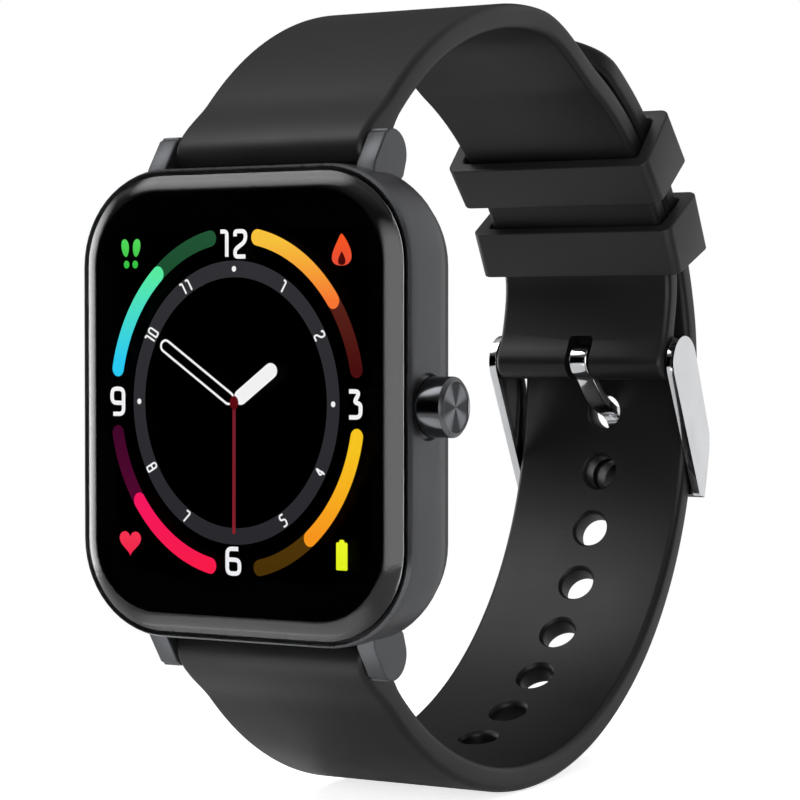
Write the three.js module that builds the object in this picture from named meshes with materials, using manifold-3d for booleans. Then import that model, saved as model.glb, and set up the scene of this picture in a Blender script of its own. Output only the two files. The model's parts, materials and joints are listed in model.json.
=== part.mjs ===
// Smartwatch on a silicone pin-buckle strap, closed into its wearing loop.
//
// Frame: millimetres, +Z towards twelve o'clock, +X towards the crown, -Y out of the dial.
// The origin is the centre of the flat sensor window on the back of the case.
// Every closed piece is one named mesh; pieces that move keep a running gap to their neighbours.

import * as THREE from 'three';
import { mergeVertices } from 'three/addons/utils/BufferGeometryUtils.js';
import Module from 'manifold-3d';

const wasm = await Module();
wasm.setup();

// ---------------------------------------------------------------- driving dimensions (mm)

const CASE = {
  halfWidth: 18.7, halfHeight: 22.6, cornerRadius: 9.4,
  front: -10.0, back: -2.6, lip: 0.45, lipDepth: 0.6,
  cavityHalfWidth: 16.4, cavityHalfHeight: 20.2, cavityRadius: 7.4, ledge: -8.9,
};
const GLASS = {
  halfWidth: 18.03, halfHeight: 22.0, cornerRadius: 8.8,
  back: -9.2, crest: -11.0, roll: 1.8, rollDepth: 1.0, seam: 0.2,
};
const LUG = { inner: 11.0, outer: 13.0, barY: -3.35, barZ: 24.2, strapClearance: 2.75, pinDepth: 1.3 };
const BAR = {
  tubeRadius: 0.75, boreRadius: 0.58, tubeHalf: 10.5,
  pinRadius: 0.5, tipRadius: 0.4, pinFrom: 6.5, pinTo: 10.3, springTo: 6.35,
};
const CROWN = {
  y: -6.7, radius: 2.83, inner: 18.85, outer: 21.7,
  recessRadius: 3.1, recessFloor: 18.3, stemRadius: 0.9, stemEnd: 11.75, tubeRadius: 1.5,
};
const LOOP = { y: 28.0, z: 0.0, radius: 39.6 };
const STRAP = {
  halfWidth: 10.85, thickness: 2.7, lugAngle: 142.33, lugKnuckle: 2.3,
  tailStart: 61, tailTip: 72, bucklePinAngle: 6.2, buckleKnuckle: 2.2, tongueSlot: 1.6,
};
const HOLES = { count: 8, first: -3.7, step: 10.6, radius: 1.95 };
const KEEPER = {
  halfOpening: 11.2, halfOuter: 12.8, inner: 35.7, outer: 42.0, wall: 1.35, halfArc: 4.75,
  fixedAngle: 27.6, freeAngle: 43.0,
};
const BUCKLE = {
  plateInner: 11.15, plateOuter: 12.05, pinY: 61.2, pinZ: 3.6, pinHole: 11.75, holeRadius: 0.5,
  barInner: 41.25, barOuter: 42.4, barFrom: -8.2, barTo: -17.0,
};
const TONGUE = { halfWidth: 1.15, thickness: 1.0, eye: 1.9, bore: 0.85 };
const PANEL = { halfWidth: 14.3, halfHeight: 16.6 };
const BOARD = { halfWidth: 14.0, halfHeight: 15.5, front: -4.1, back: -3.3 };
const BACK = {
  halfWidth: 17.9, halfHeight: 21.8, cornerRadius: 8.8,
  front: -2.25, floor: -1.9, face: -1.3, boss: -0.6,
};
const CONTACT = { x: 3.2, z: -15.2, radius: 0.93 };
const WINDOW = { radius: 11.0, front: -1.2, opening: 9.5, bossRadius: 12.6, segments: 28 };
const SCREW = { x: 13.6, z: 17.5, headRadius: 1.1, shankRadius: 0.5, bossRadius: 1.6 };
const MOTOR = { x: 9.0, z: -11.5, radius: 4.0, front: -7.6, back: -4.6, wall: 0.3, shaft: 0.4 };

const ROUND = 20;
const LOOP_STEP = 4;

// ---------------------------------------------------------------- colours and finishes

function finish(color, roughness, metalness) {
  return new THREE.MeshStandardMaterial({ color, roughness, metalness });
}

const FINISH = {
  case: () => finish(0x4b4c4e, 0.38, 0.9),
  glass: () => finish(0x08090b, 0.05, 0.0),
  screen: () => finish(0x101215, 0.3, 0.0),
  seal: () => finish(0x1a1a1a, 0.8, 0.0),
  crown: () => finish(0x77797c, 0.3, 1.0),
  plastic: () => finish(0x1c1d1f, 0.45, 0.0),
  silicone: () => finish(0x2b2c2e, 0.6, 0.0),
  chrome: () => finish(0xd9dadc, 0.08, 1.0),
  steel: () => finish(0xa5a7aa, 0.25, 1.0),
  board: () => finish(0x14402b, 0.5, 0.0),
  cell: () => finish(0xb9bcc0, 0.4, 0.3),
  gold: () => finish(0xd4b15a, 0.25, 1.0),
  flex: () => finish(0x9a5a1c, 0.45, 0.0),
};

// ---------------------------------------------------------------- geometry to solid and back

function solid(geometry) {
  const bare = geometry.index ? geometry.toNonIndexed() : geometry.clone();
  bare.deleteAttribute('normal');
  bare.deleteAttribute('uv');
  const merged = mergeVertices(bare, 1e-5);
  return new wasm.Manifold(new wasm.Mesh({
    numProp: 3,
    vertProperties: new Float32Array(merged.attributes.position.array),
    triVerts: new Uint32Array(merged.index.array),
  }));
}

function join(parts) {
  return parts.reduce((sum, part) => sum.add(part));
}

function cut(body, tools) {
  return tools.reduce((rest, tool) => rest.subtract(tool), body);
}

const watch = new THREE.Group();

function place(name, body, material) {
  const result = body.getMesh();
  const geometry = new THREE.BufferGeometry();
  geometry.setAttribute('position', new THREE.BufferAttribute(new Float32Array(result.vertProperties), 3));
  geometry.setIndex(new THREE.BufferAttribute(new Uint32Array(result.triVerts), 1));
  geometry.computeVertexNormals();
  const mesh = new THREE.Mesh(geometry, material);
  mesh.name = name;
  watch.add(mesh);
}

// ---------------------------------------------------------------- basic shapes in the watch frame

// A rounded rectangle in the X-Z plane, standing from y0 to y1.
function slab(halfX, halfZ, radius, y0, y1, centreX = 0, centreZ = 0) {
  const geometry = new THREE.ExtrudeGeometry(roundedRectangle(halfX, halfZ, radius), {
    depth: y1 - y0, bevelEnabled: false, curveSegments: 5,
  });
  geometry.rotateX(Math.PI / 2);
  geometry.translate(centreX, y1, centreZ);
  return solid(geometry);
}

// The same slab with its front and back edges rolled over.
function rolledSlab(halfX, halfZ, radius, y0, y1, roll, rollDepth, segments) {
  const shape = roundedRectangle(halfX - roll, halfZ - roll, radius - roll);
  const geometry = new THREE.ExtrudeGeometry(shape, {
    depth: y1 - y0 - 2 * rollDepth, bevelEnabled: true, bevelThickness: rollDepth,
    bevelSize: roll, bevelSegments: segments, curveSegments: 5,
  });
  geometry.rotateX(Math.PI / 2);
  geometry.translate(0, y1 - rollDepth, 0);
  return solid(geometry);
}

function roundedRectangle(halfX, halfZ, radius) {
  const shape = new THREE.Shape();
  shape.moveTo(halfX, -halfZ + radius);
  shape.absarc(halfX - radius, halfZ - radius, radius, 0, Math.PI / 2);
  shape.absarc(-halfX + radius, halfZ - radius, radius, Math.PI / 2, Math.PI);
  shape.absarc(-halfX + radius, -halfZ + radius, radius, Math.PI, Math.PI * 1.5);
  shape.absarc(halfX - radius, -halfZ + radius, radius, Math.PI * 1.5, Math.PI * 2);
  return shape;
}

function block(x0, x1, y0, y1, z0, z1) {
  const geometry = new THREE.BoxGeometry(x1 - x0, y1 - y0, z1 - z0);
  geometry.translate((x0 + x1) / 2, (y0 + y1) / 2, (z0 + z1) / 2);
  return solid(geometry);
}

function rodX(radius, x0, x1, y, z, segments = ROUND) {
  const geometry = new THREE.CylinderGeometry(radius, radius, x1 - x0, segments);
  geometry.rotateZ(Math.PI / 2);
  geometry.translate((x0 + x1) / 2, y, z);
  return solid(geometry);
}

function rodY(radius, y0, y1, x, z, segments = ROUND) {
  const geometry = new THREE.CylinderGeometry(radius, radius, y1 - y0, segments);
  geometry.translate(x, (y0 + y1) / 2, z);
  return solid(geometry);
}

// An outline drawn in the Y-Z plane, extruded across X.
function sideways(shape, x0, x1, curveSegments = 8) {
  const geometry = new THREE.ExtrudeGeometry(shape, {
    depth: x1 - x0, bevelEnabled: false, curveSegments,
  });
  const axes = new THREE.Matrix4().makeBasis(
    new THREE.Vector3(0, 1, 0), new THREE.Vector3(0, 0, 1), new THREE.Vector3(1, 0, 0));
  geometry.applyMatrix4(axes);
  geometry.translate(x0, 0, 0);
  return solid(geometry);
}

// A coil spring along X.
function coilX(radius, wire, x0, x1, y, z, turns) {
  class Helix extends THREE.Curve {
    getPoint(t, target = new THREE.Vector3()) {
      const turn = t * turns * 2 * Math.PI;
      const along = x0 + wire + (x1 - x0 - 2 * wire) * t;
      return target.set(along, y + radius * Math.cos(turn), z + radius * Math.sin(turn));
    }
  }
  const section = new THREE.Shape();
  section.absarc(0, 0, wire, 0, 2 * Math.PI);
  return solid(new THREE.ExtrudeGeometry(section, {
    steps: turns * 7, extrudePath: new Helix(), bevelEnabled: false, curveSegments: 2,
  }));
}

// ---------------------------------------------------------------- the strap loop in polar form

const degrees = Math.PI / 180;

function smoothStep(value) {
  const t = Math.min(1, Math.max(0, value));
  return t * t * (3 - 2 * t);
}

// Mid-surface radius of the outer (lower, tail) strap: it lifts over the inner strap at the back.
function tailRadius(angle) {
  const overInner = 0.8 * smoothStep((angle + 8) / 20);
  const atTip = 0.25 * smoothStep((angle - 56) / 14);
  return LOOP.radius + overInner + atTip;
}

// Mid-surface radius of the inner (upper, buckle) strap: it dips under the tail, then to the buckle.
function innerRadius(angle) {
  const underTail = 2.3 * smoothStep((86 - angle) / 20);
  const toBuckle = 3.9 * smoothStep((24 - angle) / 19);
  return LOOP.radius - underTail - toBuckle;
}

function innerThickness(angle) {
  return STRAP.thickness + 1.3 * smoothStep((angle - 128) / 12);
}

function tailThickness(angle) {
  const atLug = 1.3 * smoothStep((-128 - angle) / 12);
  const atTip = 0.3 * smoothStep((angle - 58) / 12);
  return STRAP.thickness + atLug - atTip;
}

function polar(radius, angle) {
  return new THREE.Vector2(
    LOOP.y + radius * Math.cos(angle * degrees), LOOP.z + radius * Math.sin(angle * degrees));
}

function bandShape(radiusAt, from, to, thicknessAt) {
  const steps = Math.max(2, Math.ceil(Math.abs(to - from) / LOOP_STEP));
  const angles = Array.from({ length: steps + 1 }, (_, i) => from + (to - from) * i / steps);
  const inner = angles.map((angle) => polar(radiusAt(angle) - thicknessAt(angle) / 2, angle));
  const outer = angles.map((angle) => polar(radiusAt(angle) + thicknessAt(angle) / 2, angle));
  return new THREE.Shape([...inner, ...outer.reverse()]);
}

// A cylinder of any section pointing out of the loop at one angle, between two radii.
function radialRod(radiusX, radiusAlong, from, to, angle, segments) {
  const geometry = new THREE.CylinderGeometry(1, 1, to - from, segments);
  geometry.scale(radiusX, 1, radiusAlong);
  geometry.translate(0, (from + to) / 2, 0);
  geometry.rotateX(angle * degrees);
  geometry.translate(0, LOOP.y, LOOP.z);
  return solid(geometry);
}

// ---------------------------------------------------------------- case

// Side view of one lug: a flat slanted front face and a rounded back, above (side 1) or below (side -1).
function lugOutline(side) {
  const shape = new THREE.Shape();
  shape.moveTo(-7.2, side * 21.0);
  shape.lineTo(-6.9, side * 22.9);
  shape.lineTo(-4.8, side * 25.9);
  shape.quadraticCurveTo(-4.5, side * 26.2, -3.6, side * 26.1);
  shape.quadraticCurveTo(-1.4, side * 25.9, -0.95, side * 24.3);
  shape.quadraticCurveTo(-0.9, side * 22.8, -2.8, side * 21.0);
  return shape;
}

// A span across X between two distances from the middle, on the left (side -1) or right (side 1).
function spanX(side, near, far) {
  return side > 0 ? [near, far] : [-far, -near];
}

function makeCase() {
  const ring = rolledSlab(CASE.halfWidth, CASE.halfHeight, CASE.cornerRadius,
    CASE.front, CASE.back, CASE.lip, CASE.lipDepth, 1);
  const lugs = [];
  const bosses = [];
  const screwHoles = [];
  const cuts = [
    slab(GLASS.halfWidth + GLASS.seam, GLASS.halfHeight + GLASS.seam,
      GLASS.cornerRadius + GLASS.seam, CASE.front - 1, CASE.ledge),
    slab(CASE.cavityHalfWidth, CASE.cavityHalfHeight, CASE.cavityRadius, CASE.ledge - 1, CASE.back + 1),
    rodX(CROWN.recessRadius, CROWN.recessFloor, 20, CROWN.y, 0),
    rodX(CROWN.tubeRadius + 0.05, 14, 18.5, CROWN.y, 0),
  ];
  for (const sz of [-1, 1]) {
    cuts.push(rodX(LUG.strapClearance, -LUG.inner, LUG.inner, LUG.barY, sz * LUG.barZ, 32));
    for (const sx of [-1, 1]) {
      const pinHole = spanX(sx, LUG.inner - 0.5, LUG.inner + LUG.pinDepth);
      lugs.push(sideways(lugOutline(sz), ...spanX(sx, LUG.inner, LUG.outer), 5));
      cuts.push(rodX(BAR.tipRadius + 0.1, ...pinHole, LUG.barY, sz * LUG.barZ, 16));
      bosses.push(rodY(SCREW.bossRadius, -6.0, CASE.back, sx * SCREW.x, sz * SCREW.z, 16));
      screwHoles.push(rodY(SCREW.shankRadius + 0.1, -5.5, CASE.back + 1, sx * SCREW.x, sz * SCREW.z, 12));
    }
  }
  const hollow = cut(join([ring, ...lugs]), cuts);
  return cut(join([hollow, ...bosses]), screwHoles);
}

function makeGlass() {
  const full = rolledSlab(GLASS.halfWidth, GLASS.halfHeight, GLASS.cornerRadius,
    GLASS.crest, GLASS.crest + 4, GLASS.roll, GLASS.rollDepth, 4);
  return full.subtract(block(-30, 30, GLASS.back, 0, -30, 30));
}

function frameRing(halfX, halfZ, radius, width, y0, y1) {
  const outer = slab(halfX, halfZ, radius, y0, y1);
  return outer.subtract(slab(halfX - width, halfZ - width, radius - width, y0 - 1, y1 + 1));
}

function makeBackCover() {
  const plate = rolledSlab(BACK.halfWidth, BACK.halfHeight, BACK.cornerRadius,
    BACK.front, BACK.face, 0.35, 0.35, 2);
  const boss = rodY(WINDOW.bossRadius, -1.6, BACK.boss, 0, 0, WINDOW.segments);
  const tools = [
    slab(12.0, 19.0, 3.0, BACK.front - 1, BACK.floor),
    rodY(WINDOW.opening, -3, 1, 0, 0, WINDOW.segments),
    rodY(WINDOW.radius + 0.05, WINDOW.front - 0.05, 1, 0, 0, WINDOW.segments),
  ];
  for (const sx of [-1, 1]) {
    tools.push(rodY(CONTACT.radius + 0.05, -3, 0, sx * CONTACT.x, CONTACT.z, 16));
    for (const sz of [-1, 1]) {
      tools.push(rodY(SCREW.headRadius + 0.1, -1.8, 0, sx * SCREW.x, sz * SCREW.z, 16));
      tools.push(rodY(SCREW.shankRadius + 0.1, -3, 0, sx * SCREW.x, sz * SCREW.z, 12));
    }
  }
  return cut(plate.add(boss), tools);
}

// A small pan-head screw with a three-way driver recess.
function makeScrew(sx, sz) {
  const x = sx * SCREW.x;
  const z = sz * SCREW.z;
  const head = rodY(SCREW.headRadius, -1.75, -1.32, x, z, 16);
  const shank = rodY(SCREW.shankRadius, -5.2, -1.7, x, z, 12);
  const recess = rodY(0.45, -1.55, -1, x, z, 6);
  return head.add(shank).subtract(recess);
}

function makeDisplayFlex() {
  const shape = new THREE.Shape();
  const points = [
    [-7.85, -14.5], [-7.85, -17.6], [-7.4, -18.2], [-4.8, -18.2], [-4.25, -17.6], [-4.25, -13.5],
    [-4.40, -13.5], [-4.40, -17.5], [-4.88, -18.05], [-7.3, -18.05], [-7.7, -17.5], [-7.7, -14.5],
  ];
  shape.setFromPoints(points.map(([y, z]) => new THREE.Vector2(y, z)));
  return sideways(shape, -5, 5);
}

function makeSensorBoard() {
  const disc = rodY(7.5, -2.9, -2.4, 0, 0, 24);
  const chips = [[0, 0, 1.6], [3.6, 0, 0.9], [-3.6, 0, 0.9], [0, 3.6, 0.9], [0, -3.6, 0.9]];
  return join([disc, ...chips.map(([x, z, half]) => (
    block(x - half, x + half, -2.5, -1.7, z - half, z + half)))]);
}

function makeMainBoard() {
  const plate = slab(BOARD.halfWidth, BOARD.halfHeight, 2.0, BOARD.front, BOARD.back);
  const chips = [
    [6.2, 11.6, 4.8, 9.8], [6.0, 10.4, -6.6, -2.4], [8.0, 12.6, 11.4, 13.8],
  ];
  return join([plate, ...chips.map(([x0, x1, z0, z1]) => (
    block(x0, x1, BOARD.front - 1.0, BOARD.front + 0.1, z0, z1)))]);
}

function makeMotorCan() {
  const can = rodY(MOTOR.radius, MOTOR.front, MOTOR.back, MOTOR.x, MOTOR.z, 32);
  const bore = rodY(MOTOR.radius - MOTOR.wall, MOTOR.front + MOTOR.wall, 0, MOTOR.x, MOTOR.z, 32);
  const shaft = rodY(MOTOR.shaft, MOTOR.front + 0.1, MOTOR.back, MOTOR.x, MOTOR.z, 16);
  return can.subtract(bore).add(shaft);
}

function makeMotorWeight() {
  const half = rodY(MOTOR.radius - MOTOR.wall - 0.3, -7.0, -4.9, MOTOR.x, MOTOR.z, 32)
    .subtract(block(MOTOR.x - 5, MOTOR.x + 5, -8, -4, MOTOR.z, MOTOR.z + 5));
  const hub = rodY(1.0, -7.0, -4.9, MOTOR.x, MOTOR.z, 20);
  return half.add(hub).subtract(rodY(MOTOR.shaft + 0.07, -8, -4, MOTOR.x, MOTOR.z, 20));
}

// ---------------------------------------------------------------- crown

function makeCrownCap() {
  const profile = [
    [0, CROWN.inner], [1.25, CROWN.inner], [1.25, 20.5], [2.3, 20.5], [2.3, CROWN.inner],
    [2.75, CROWN.inner], [CROWN.radius, CROWN.inner + 0.1], [CROWN.radius, CROWN.outer - 0.33],
    [2.5, CROWN.outer], [2.25, CROWN.outer], [2.1, CROWN.outer - 0.12], [0, CROWN.outer - 0.12],
  ];
  const geometry = new THREE.LatheGeometry(profile.map(([r, x]) => new THREE.Vector2(r, x)), 32);
  geometry.rotateZ(-Math.PI / 2);
  geometry.translate(0, CROWN.y, 0);
  return solid(geometry);
}

function makeCrownStem() {
  const shaft = rodX(CROWN.stemRadius, 13.8, CROWN.inner - 0.05, CROWN.y, 0);
  const square = block(CROWN.stemEnd, 13.9, CROWN.y - 0.55, CROWN.y + 0.55, -0.55, 0.55);
  const groove = rodX(2, 15.4, 16.0, CROWN.y, 0).subtract(rodX(0.7, 15, 16.5, CROWN.y, 0));
  return shaft.add(square).subtract(groove);
}

function makeEncoderWheel() {
  const wheel = rodX(1.15, 12.2, 13.2, CROWN.y, 0);
  const notches = Array.from({ length: 8 }, (_, i) => {
    const angle = i * 45 * degrees;
    return rodX(0.16, 12, 13.4, CROWN.y + 1.15 * Math.cos(angle), 1.15 * Math.sin(angle), 8);
  });
  const bore = block(12, 13.4, CROWN.y - 0.62, CROWN.y + 0.62, -0.62, 0.62);
  return cut(wheel, [...notches, bore]);
}

function makeCrownSwitch() {
  const body = block(9.0, 10.6, CROWN.y - 1.0, BOARD.front - 0.05, -1.5, 1.5);
  return body.add(rodX(0.6, 10.5, 11.2, CROWN.y, 0, 16));
}

function makeORing() {
  const geometry = new THREE.TorusGeometry(0.84, 0.12, 6, 20);
  geometry.rotateY(Math.PI / 2);
  geometry.translate(15.7, CROWN.y, 0);
  return solid(geometry);
}

// ---------------------------------------------------------------- straps, keepers and bars

function makeUpperStrap() {
  const start = polar(LOOP.radius, STRAP.lugAngle);
  const end = polar(innerRadius(STRAP.bucklePinAngle), STRAP.bucklePinAngle);
  const band = sideways(
    bandShape(innerRadius, STRAP.bucklePinAngle, STRAP.lugAngle - 1, innerThickness),
    -STRAP.halfWidth, STRAP.halfWidth);
  const lugKnuckle = rodX(STRAP.lugKnuckle, -STRAP.halfWidth, STRAP.halfWidth, start.x, start.y);
  const buckleKnuckle = rodX(STRAP.buckleKnuckle, -STRAP.halfWidth, STRAP.halfWidth, end.x, end.y);
  const tools = [
    rodX(BAR.tubeRadius + 0.1, -12, 12, start.x, start.y, 16),
    rodX(BAR.tubeRadius + 0.1, -12, 12, end.x, end.y, 16),
    block(-STRAP.tongueSlot, STRAP.tongueSlot, end.x - 4, end.x + 4, end.y - 4, end.y + 2.9),
  ];
  return cut(join([band, lugKnuckle, buckleKnuckle]), tools);
}

function makeLowerStrap() {
  const start = polar(LOOP.radius, -STRAP.lugAngle);
  const band = sideways(
    bandShape(tailRadius, -STRAP.lugAngle + 1, STRAP.tailTip, tailThickness),
    -STRAP.halfWidth, STRAP.halfWidth);
  const lugKnuckle = rodX(STRAP.lugKnuckle, -STRAP.halfWidth, STRAP.halfWidth, start.x, start.y);
  const tipLength = (STRAP.tailTip - STRAP.tailStart) * degrees * tailRadius(STRAP.tailStart);
  const tipBlock = sideways(
    bandShape(tailRadius, STRAP.tailStart, STRAP.tailTip + 4, () => 6),
    -STRAP.halfWidth - 1, STRAP.halfWidth + 1);
  const tipRound = radialRod(STRAP.halfWidth + 0.3, tipLength, 36, 46, STRAP.tailStart, 40);
  const tools = [tipBlock.subtract(tipRound), rodX(BAR.tubeRadius + 0.1, -12, 12, start.x, start.y, 16)];
  for (let i = 0; i < HOLES.count; i += 1) {
    tools.push(radialRod(HOLES.radius, HOLES.radius, 36, 44, HOLES.first - i * HOLES.step, 20));
  }
  return cut(band.add(lugKnuckle), tools);
}

function makeKeeper(angle) {
  const from = angle - KEEPER.halfArc;
  const to = angle + KEEPER.halfArc;
  const middle = () => (KEEPER.inner + KEEPER.outer) / 2;
  const opening = KEEPER.outer - KEEPER.inner;
  const outer = sideways(bandShape(middle, from, to, () => opening + 2 * KEEPER.wall),
    -KEEPER.halfOuter, KEEPER.halfOuter);
  const inside = sideways(bandShape(middle, from - 2, to + 2, () => opening),
    -KEEPER.halfOpening, KEEPER.halfOpening);
  return outer.subtract(inside);
}

function placeBar(label, centre, tipTo) {
  const tube = rodX(BAR.tubeRadius, -BAR.tubeHalf, BAR.tubeHalf, centre.x, centre.y, 20)
    .subtract(rodX(BAR.boreRadius, -12, 12, centre.x, centre.y, 16));
  place(`${label}_bar_tube`, tube, FINISH.steel());
  place(`${label}_bar_spring`,
    coilX(0.36, 0.11, -BAR.springTo, BAR.springTo, centre.x, centre.y, 6), FINISH.steel());
  for (const [side, word] of [[-1, 'left'], [1, 'right']]) {
    const pin = rodX(BAR.pinRadius, ...spanX(side, BAR.pinFrom, BAR.pinTo), centre.x, centre.y, 16);
    const tip = rodX(BAR.tipRadius, ...spanX(side, BAR.pinTo - 0.1, tipTo), centre.x, centre.y, 16);
    place(`${label}_bar_pin_${word}`, pin.add(tip), FINISH.steel());
  }
}

// ---------------------------------------------------------------- buckle

// The outline round three circles of one side plate: broad at the pin, narrow at the cross bar.
function plateOutline() {
  const circles = [[63.0, 3.4, 3.1], [67.5, -5.4, 2.3], [67.75, -11.4, 0.8]];
  const points = circles.flatMap(([y, z, radius]) => (
    Array.from({ length: 20 }, (_, i) => new THREE.Vector2(
      y + radius * Math.cos(i * 18 * degrees), z + radius * Math.sin(i * 18 * degrees)))));
  return new THREE.Shape(convexOutline(points));
}

function convexOutline(points) {
  const sorted = [...points].sort((a, b) => a.x - b.x || a.y - b.y);
  const turn = (o, a, b) => (a.x - o.x) * (b.y - o.y) - (a.y - o.y) * (b.x - o.x);
  const chain = (ordered) => {
    const kept = [];
    for (const point of ordered) {
      while (kept.length > 1 && turn(kept.at(-2), kept.at(-1), point) <= 1e-9) {
        kept.pop();
      }
      kept.push(point);
    }
    return kept.slice(0, -1);
  };
  return [...chain(sorted), ...chain(sorted.reverse())];
}

function makeBuckleFrame() {
  const middle = () => (BUCKLE.barInner + BUCKLE.barOuter) / 2;
  const bar = sideways(
    bandShape(middle, BUCKLE.barFrom, BUCKLE.barTo, () => BUCKLE.barOuter - BUCKLE.barInner),
    -BUCKLE.plateOuter + 0.01, BUCKLE.plateOuter - 0.01);
  const plates = [];
  const holes = [];
  for (const side of [-1, 1]) {
    plates.push(sideways(plateOutline(), ...spanX(side, BUCKLE.plateInner, BUCKLE.plateOuter)));
    holes.push(rodX(BUCKLE.holeRadius, ...spanX(side, 10, BUCKLE.pinHole), BUCKLE.pinY, BUCKLE.pinZ, 16));
  }
  return cut(join([bar, ...plates]), holes);
}

function makeTongue() {
  const line = new THREE.CatmullRomCurve3([
    [61.2, 1.8], [62.6, 0.2], [64.6, -1.35], [67.0, -2.45], [69.2, -3.3], [70.3, -4.5], [70.68, -6.2],
    [70.4, -8.5], [69.95, -10.2],
  ].map(([y, z]) => new THREE.Vector3(y, z, 0)));
  const count = 18;
  const near = [];
  const far = [];
  for (let i = 0; i <= count; i += 1) {
    const point = line.getPointAt(i / count);
    const along = line.getTangentAt(i / count);
    const half = TONGUE.thickness / 2;
    near.push(new THREE.Vector2(point.x - along.y * half, point.y + along.x * half));
    far.push(new THREE.Vector2(point.x + along.y * half, point.y - along.x * half));
  }
  const blade = sideways(new THREE.Shape([...near, ...far.reverse()]), -TONGUE.halfWidth, TONGUE.halfWidth);
  const eye = rodX(TONGUE.eye, -TONGUE.halfWidth, TONGUE.halfWidth, BUCKLE.pinY, BUCKLE.pinZ);
  return blade.add(eye).subtract(rodX(TONGUE.bore, -3, 3, BUCKLE.pinY, BUCKLE.pinZ, 16));
}

// ---------------------------------------------------------------- the assembly

function placeCasePieces() {
  place('case_body', makeCase(), FINISH.case());
  place('cover_glass', makeGlass(), FINISH.glass());
  place('display_seal', frameRing(GLASS.halfWidth - 0.1, GLASS.halfHeight - 0.1,
    GLASS.cornerRadius - 0.1, 1.2, GLASS.back + 0.03, CASE.ledge - 0.03), FINISH.seal());
  place('display_panel', slab(PANEL.halfWidth, PANEL.halfHeight, 4.0, GLASS.back + 0.05, -7.95),
    FINISH.screen());
  place('display_flex', makeDisplayFlex(), FINISH.flex());
  place('battery', slab(8.6, 12.0, 1.5, -7.6, -5.2, -4.9, 2.5), FINISH.cell());
  place('main_board', makeMainBoard(), FINISH.board());
  place('vibration_motor', makeMotorCan(), FINISH.steel());
  place('vibration_weight', makeMotorWeight(), FINISH.steel());
}

function placeBackPieces() {
  place('back_cover', makeBackCover(), FINISH.plastic());
  place('back_seal', frameRing(17.5, 21.4, 8.4, 0.7, CASE.back + 0.03, BACK.front - 0.03), FINISH.seal());
  place('sensor_window', rodY(WINDOW.radius, WINDOW.front, 0, 0, 0, WINDOW.segments), FINISH.glass());
  place('sensor_board', makeSensorBoard(), FINISH.board());
  [-1, 1].forEach((side, i) => {
    place(`charge_contact_${i + 1}`,
      rodY(CONTACT.radius, -2.9, BACK.face + 0.08, side * CONTACT.x, CONTACT.z, 16), FINISH.gold());
    place(`charging_magnet_${i + 1}`,
      rodY(2.0, -3.1, BACK.floor - 0.05, side * 8.4, CONTACT.z, 20), FINISH.steel());
  });
  [[-1, 1], [1, 1], [-1, -1], [1, -1]].forEach(([sx, sz], i) => {
    place(`back_screw_${i + 1}`, makeScrew(sx, sz), FINISH.steel());
  });
}

function placeCrownPieces() {
  place('crown_cap', makeCrownCap(), FINISH.crown());
  place('crown_stem', makeCrownStem(), FINISH.steel());
  place('crown_o_ring', makeORing(), FINISH.seal());
  place('crown_tube', rodX(CROWN.tubeRadius, 14.4, CROWN.recessFloor - 0.05, CROWN.y, 0)
    .subtract(rodX(1.0, 13, 19, CROWN.y, 0)), FINISH.steel());
  place('crown_spring', coilX(1.78, 0.16, CROWN.recessFloor + 0.05, 20.45, CROWN.y, 0, 3), FINISH.steel());
  place('crown_encoder_wheel', makeEncoderWheel(), FINISH.plastic());
  place('crown_switch', makeCrownSwitch(), FINISH.plastic());
}

function placeStrapPieces() {
  place('upper_strap', makeUpperStrap(), FINISH.silicone());
  place('lower_strap', makeLowerStrap(), FINISH.silicone());
  place('fixed_keeper', makeKeeper(KEEPER.fixedAngle), FINISH.silicone());
  place('free_keeper', makeKeeper(KEEPER.freeAngle), FINISH.silicone());
  placeBar('upper', polar(LOOP.radius, STRAP.lugAngle), LUG.inner + 1.1);
  placeBar('lower', polar(LOOP.radius, -STRAP.lugAngle), LUG.inner + 1.1);
  placeBar('buckle', new THREE.Vector2(BUCKLE.pinY, BUCKLE.pinZ), BUCKLE.pinHole - 0.1);
  place('buckle_frame', makeBuckleFrame(), FINISH.chrome());
  place('buckle_tongue', makeTongue(), FINISH.chrome());
}

placeCasePieces();
placeBackPieces();
placeCrownPieces();
placeStrapPieces();

export default watch;
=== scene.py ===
# %% [markdown]
# # A smartwatch on a silicone strap
# The watch is a metal case with a domed cover glass, a lit dial under it, a crown that turns and
# presses, and a two-part silicone strap closed into a loop by a pin buckle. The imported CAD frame
# gives every size and every moving body. This script builds the fine surfaces over that frame.

# %% Load the frame
import json
from math import atan2, cos, degrees, hypot, pi, radians, sin, sqrt
import bmesh
import bpy
import numpy as np
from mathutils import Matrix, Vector
from mathutils.geometry import convex_hull_2d


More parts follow.
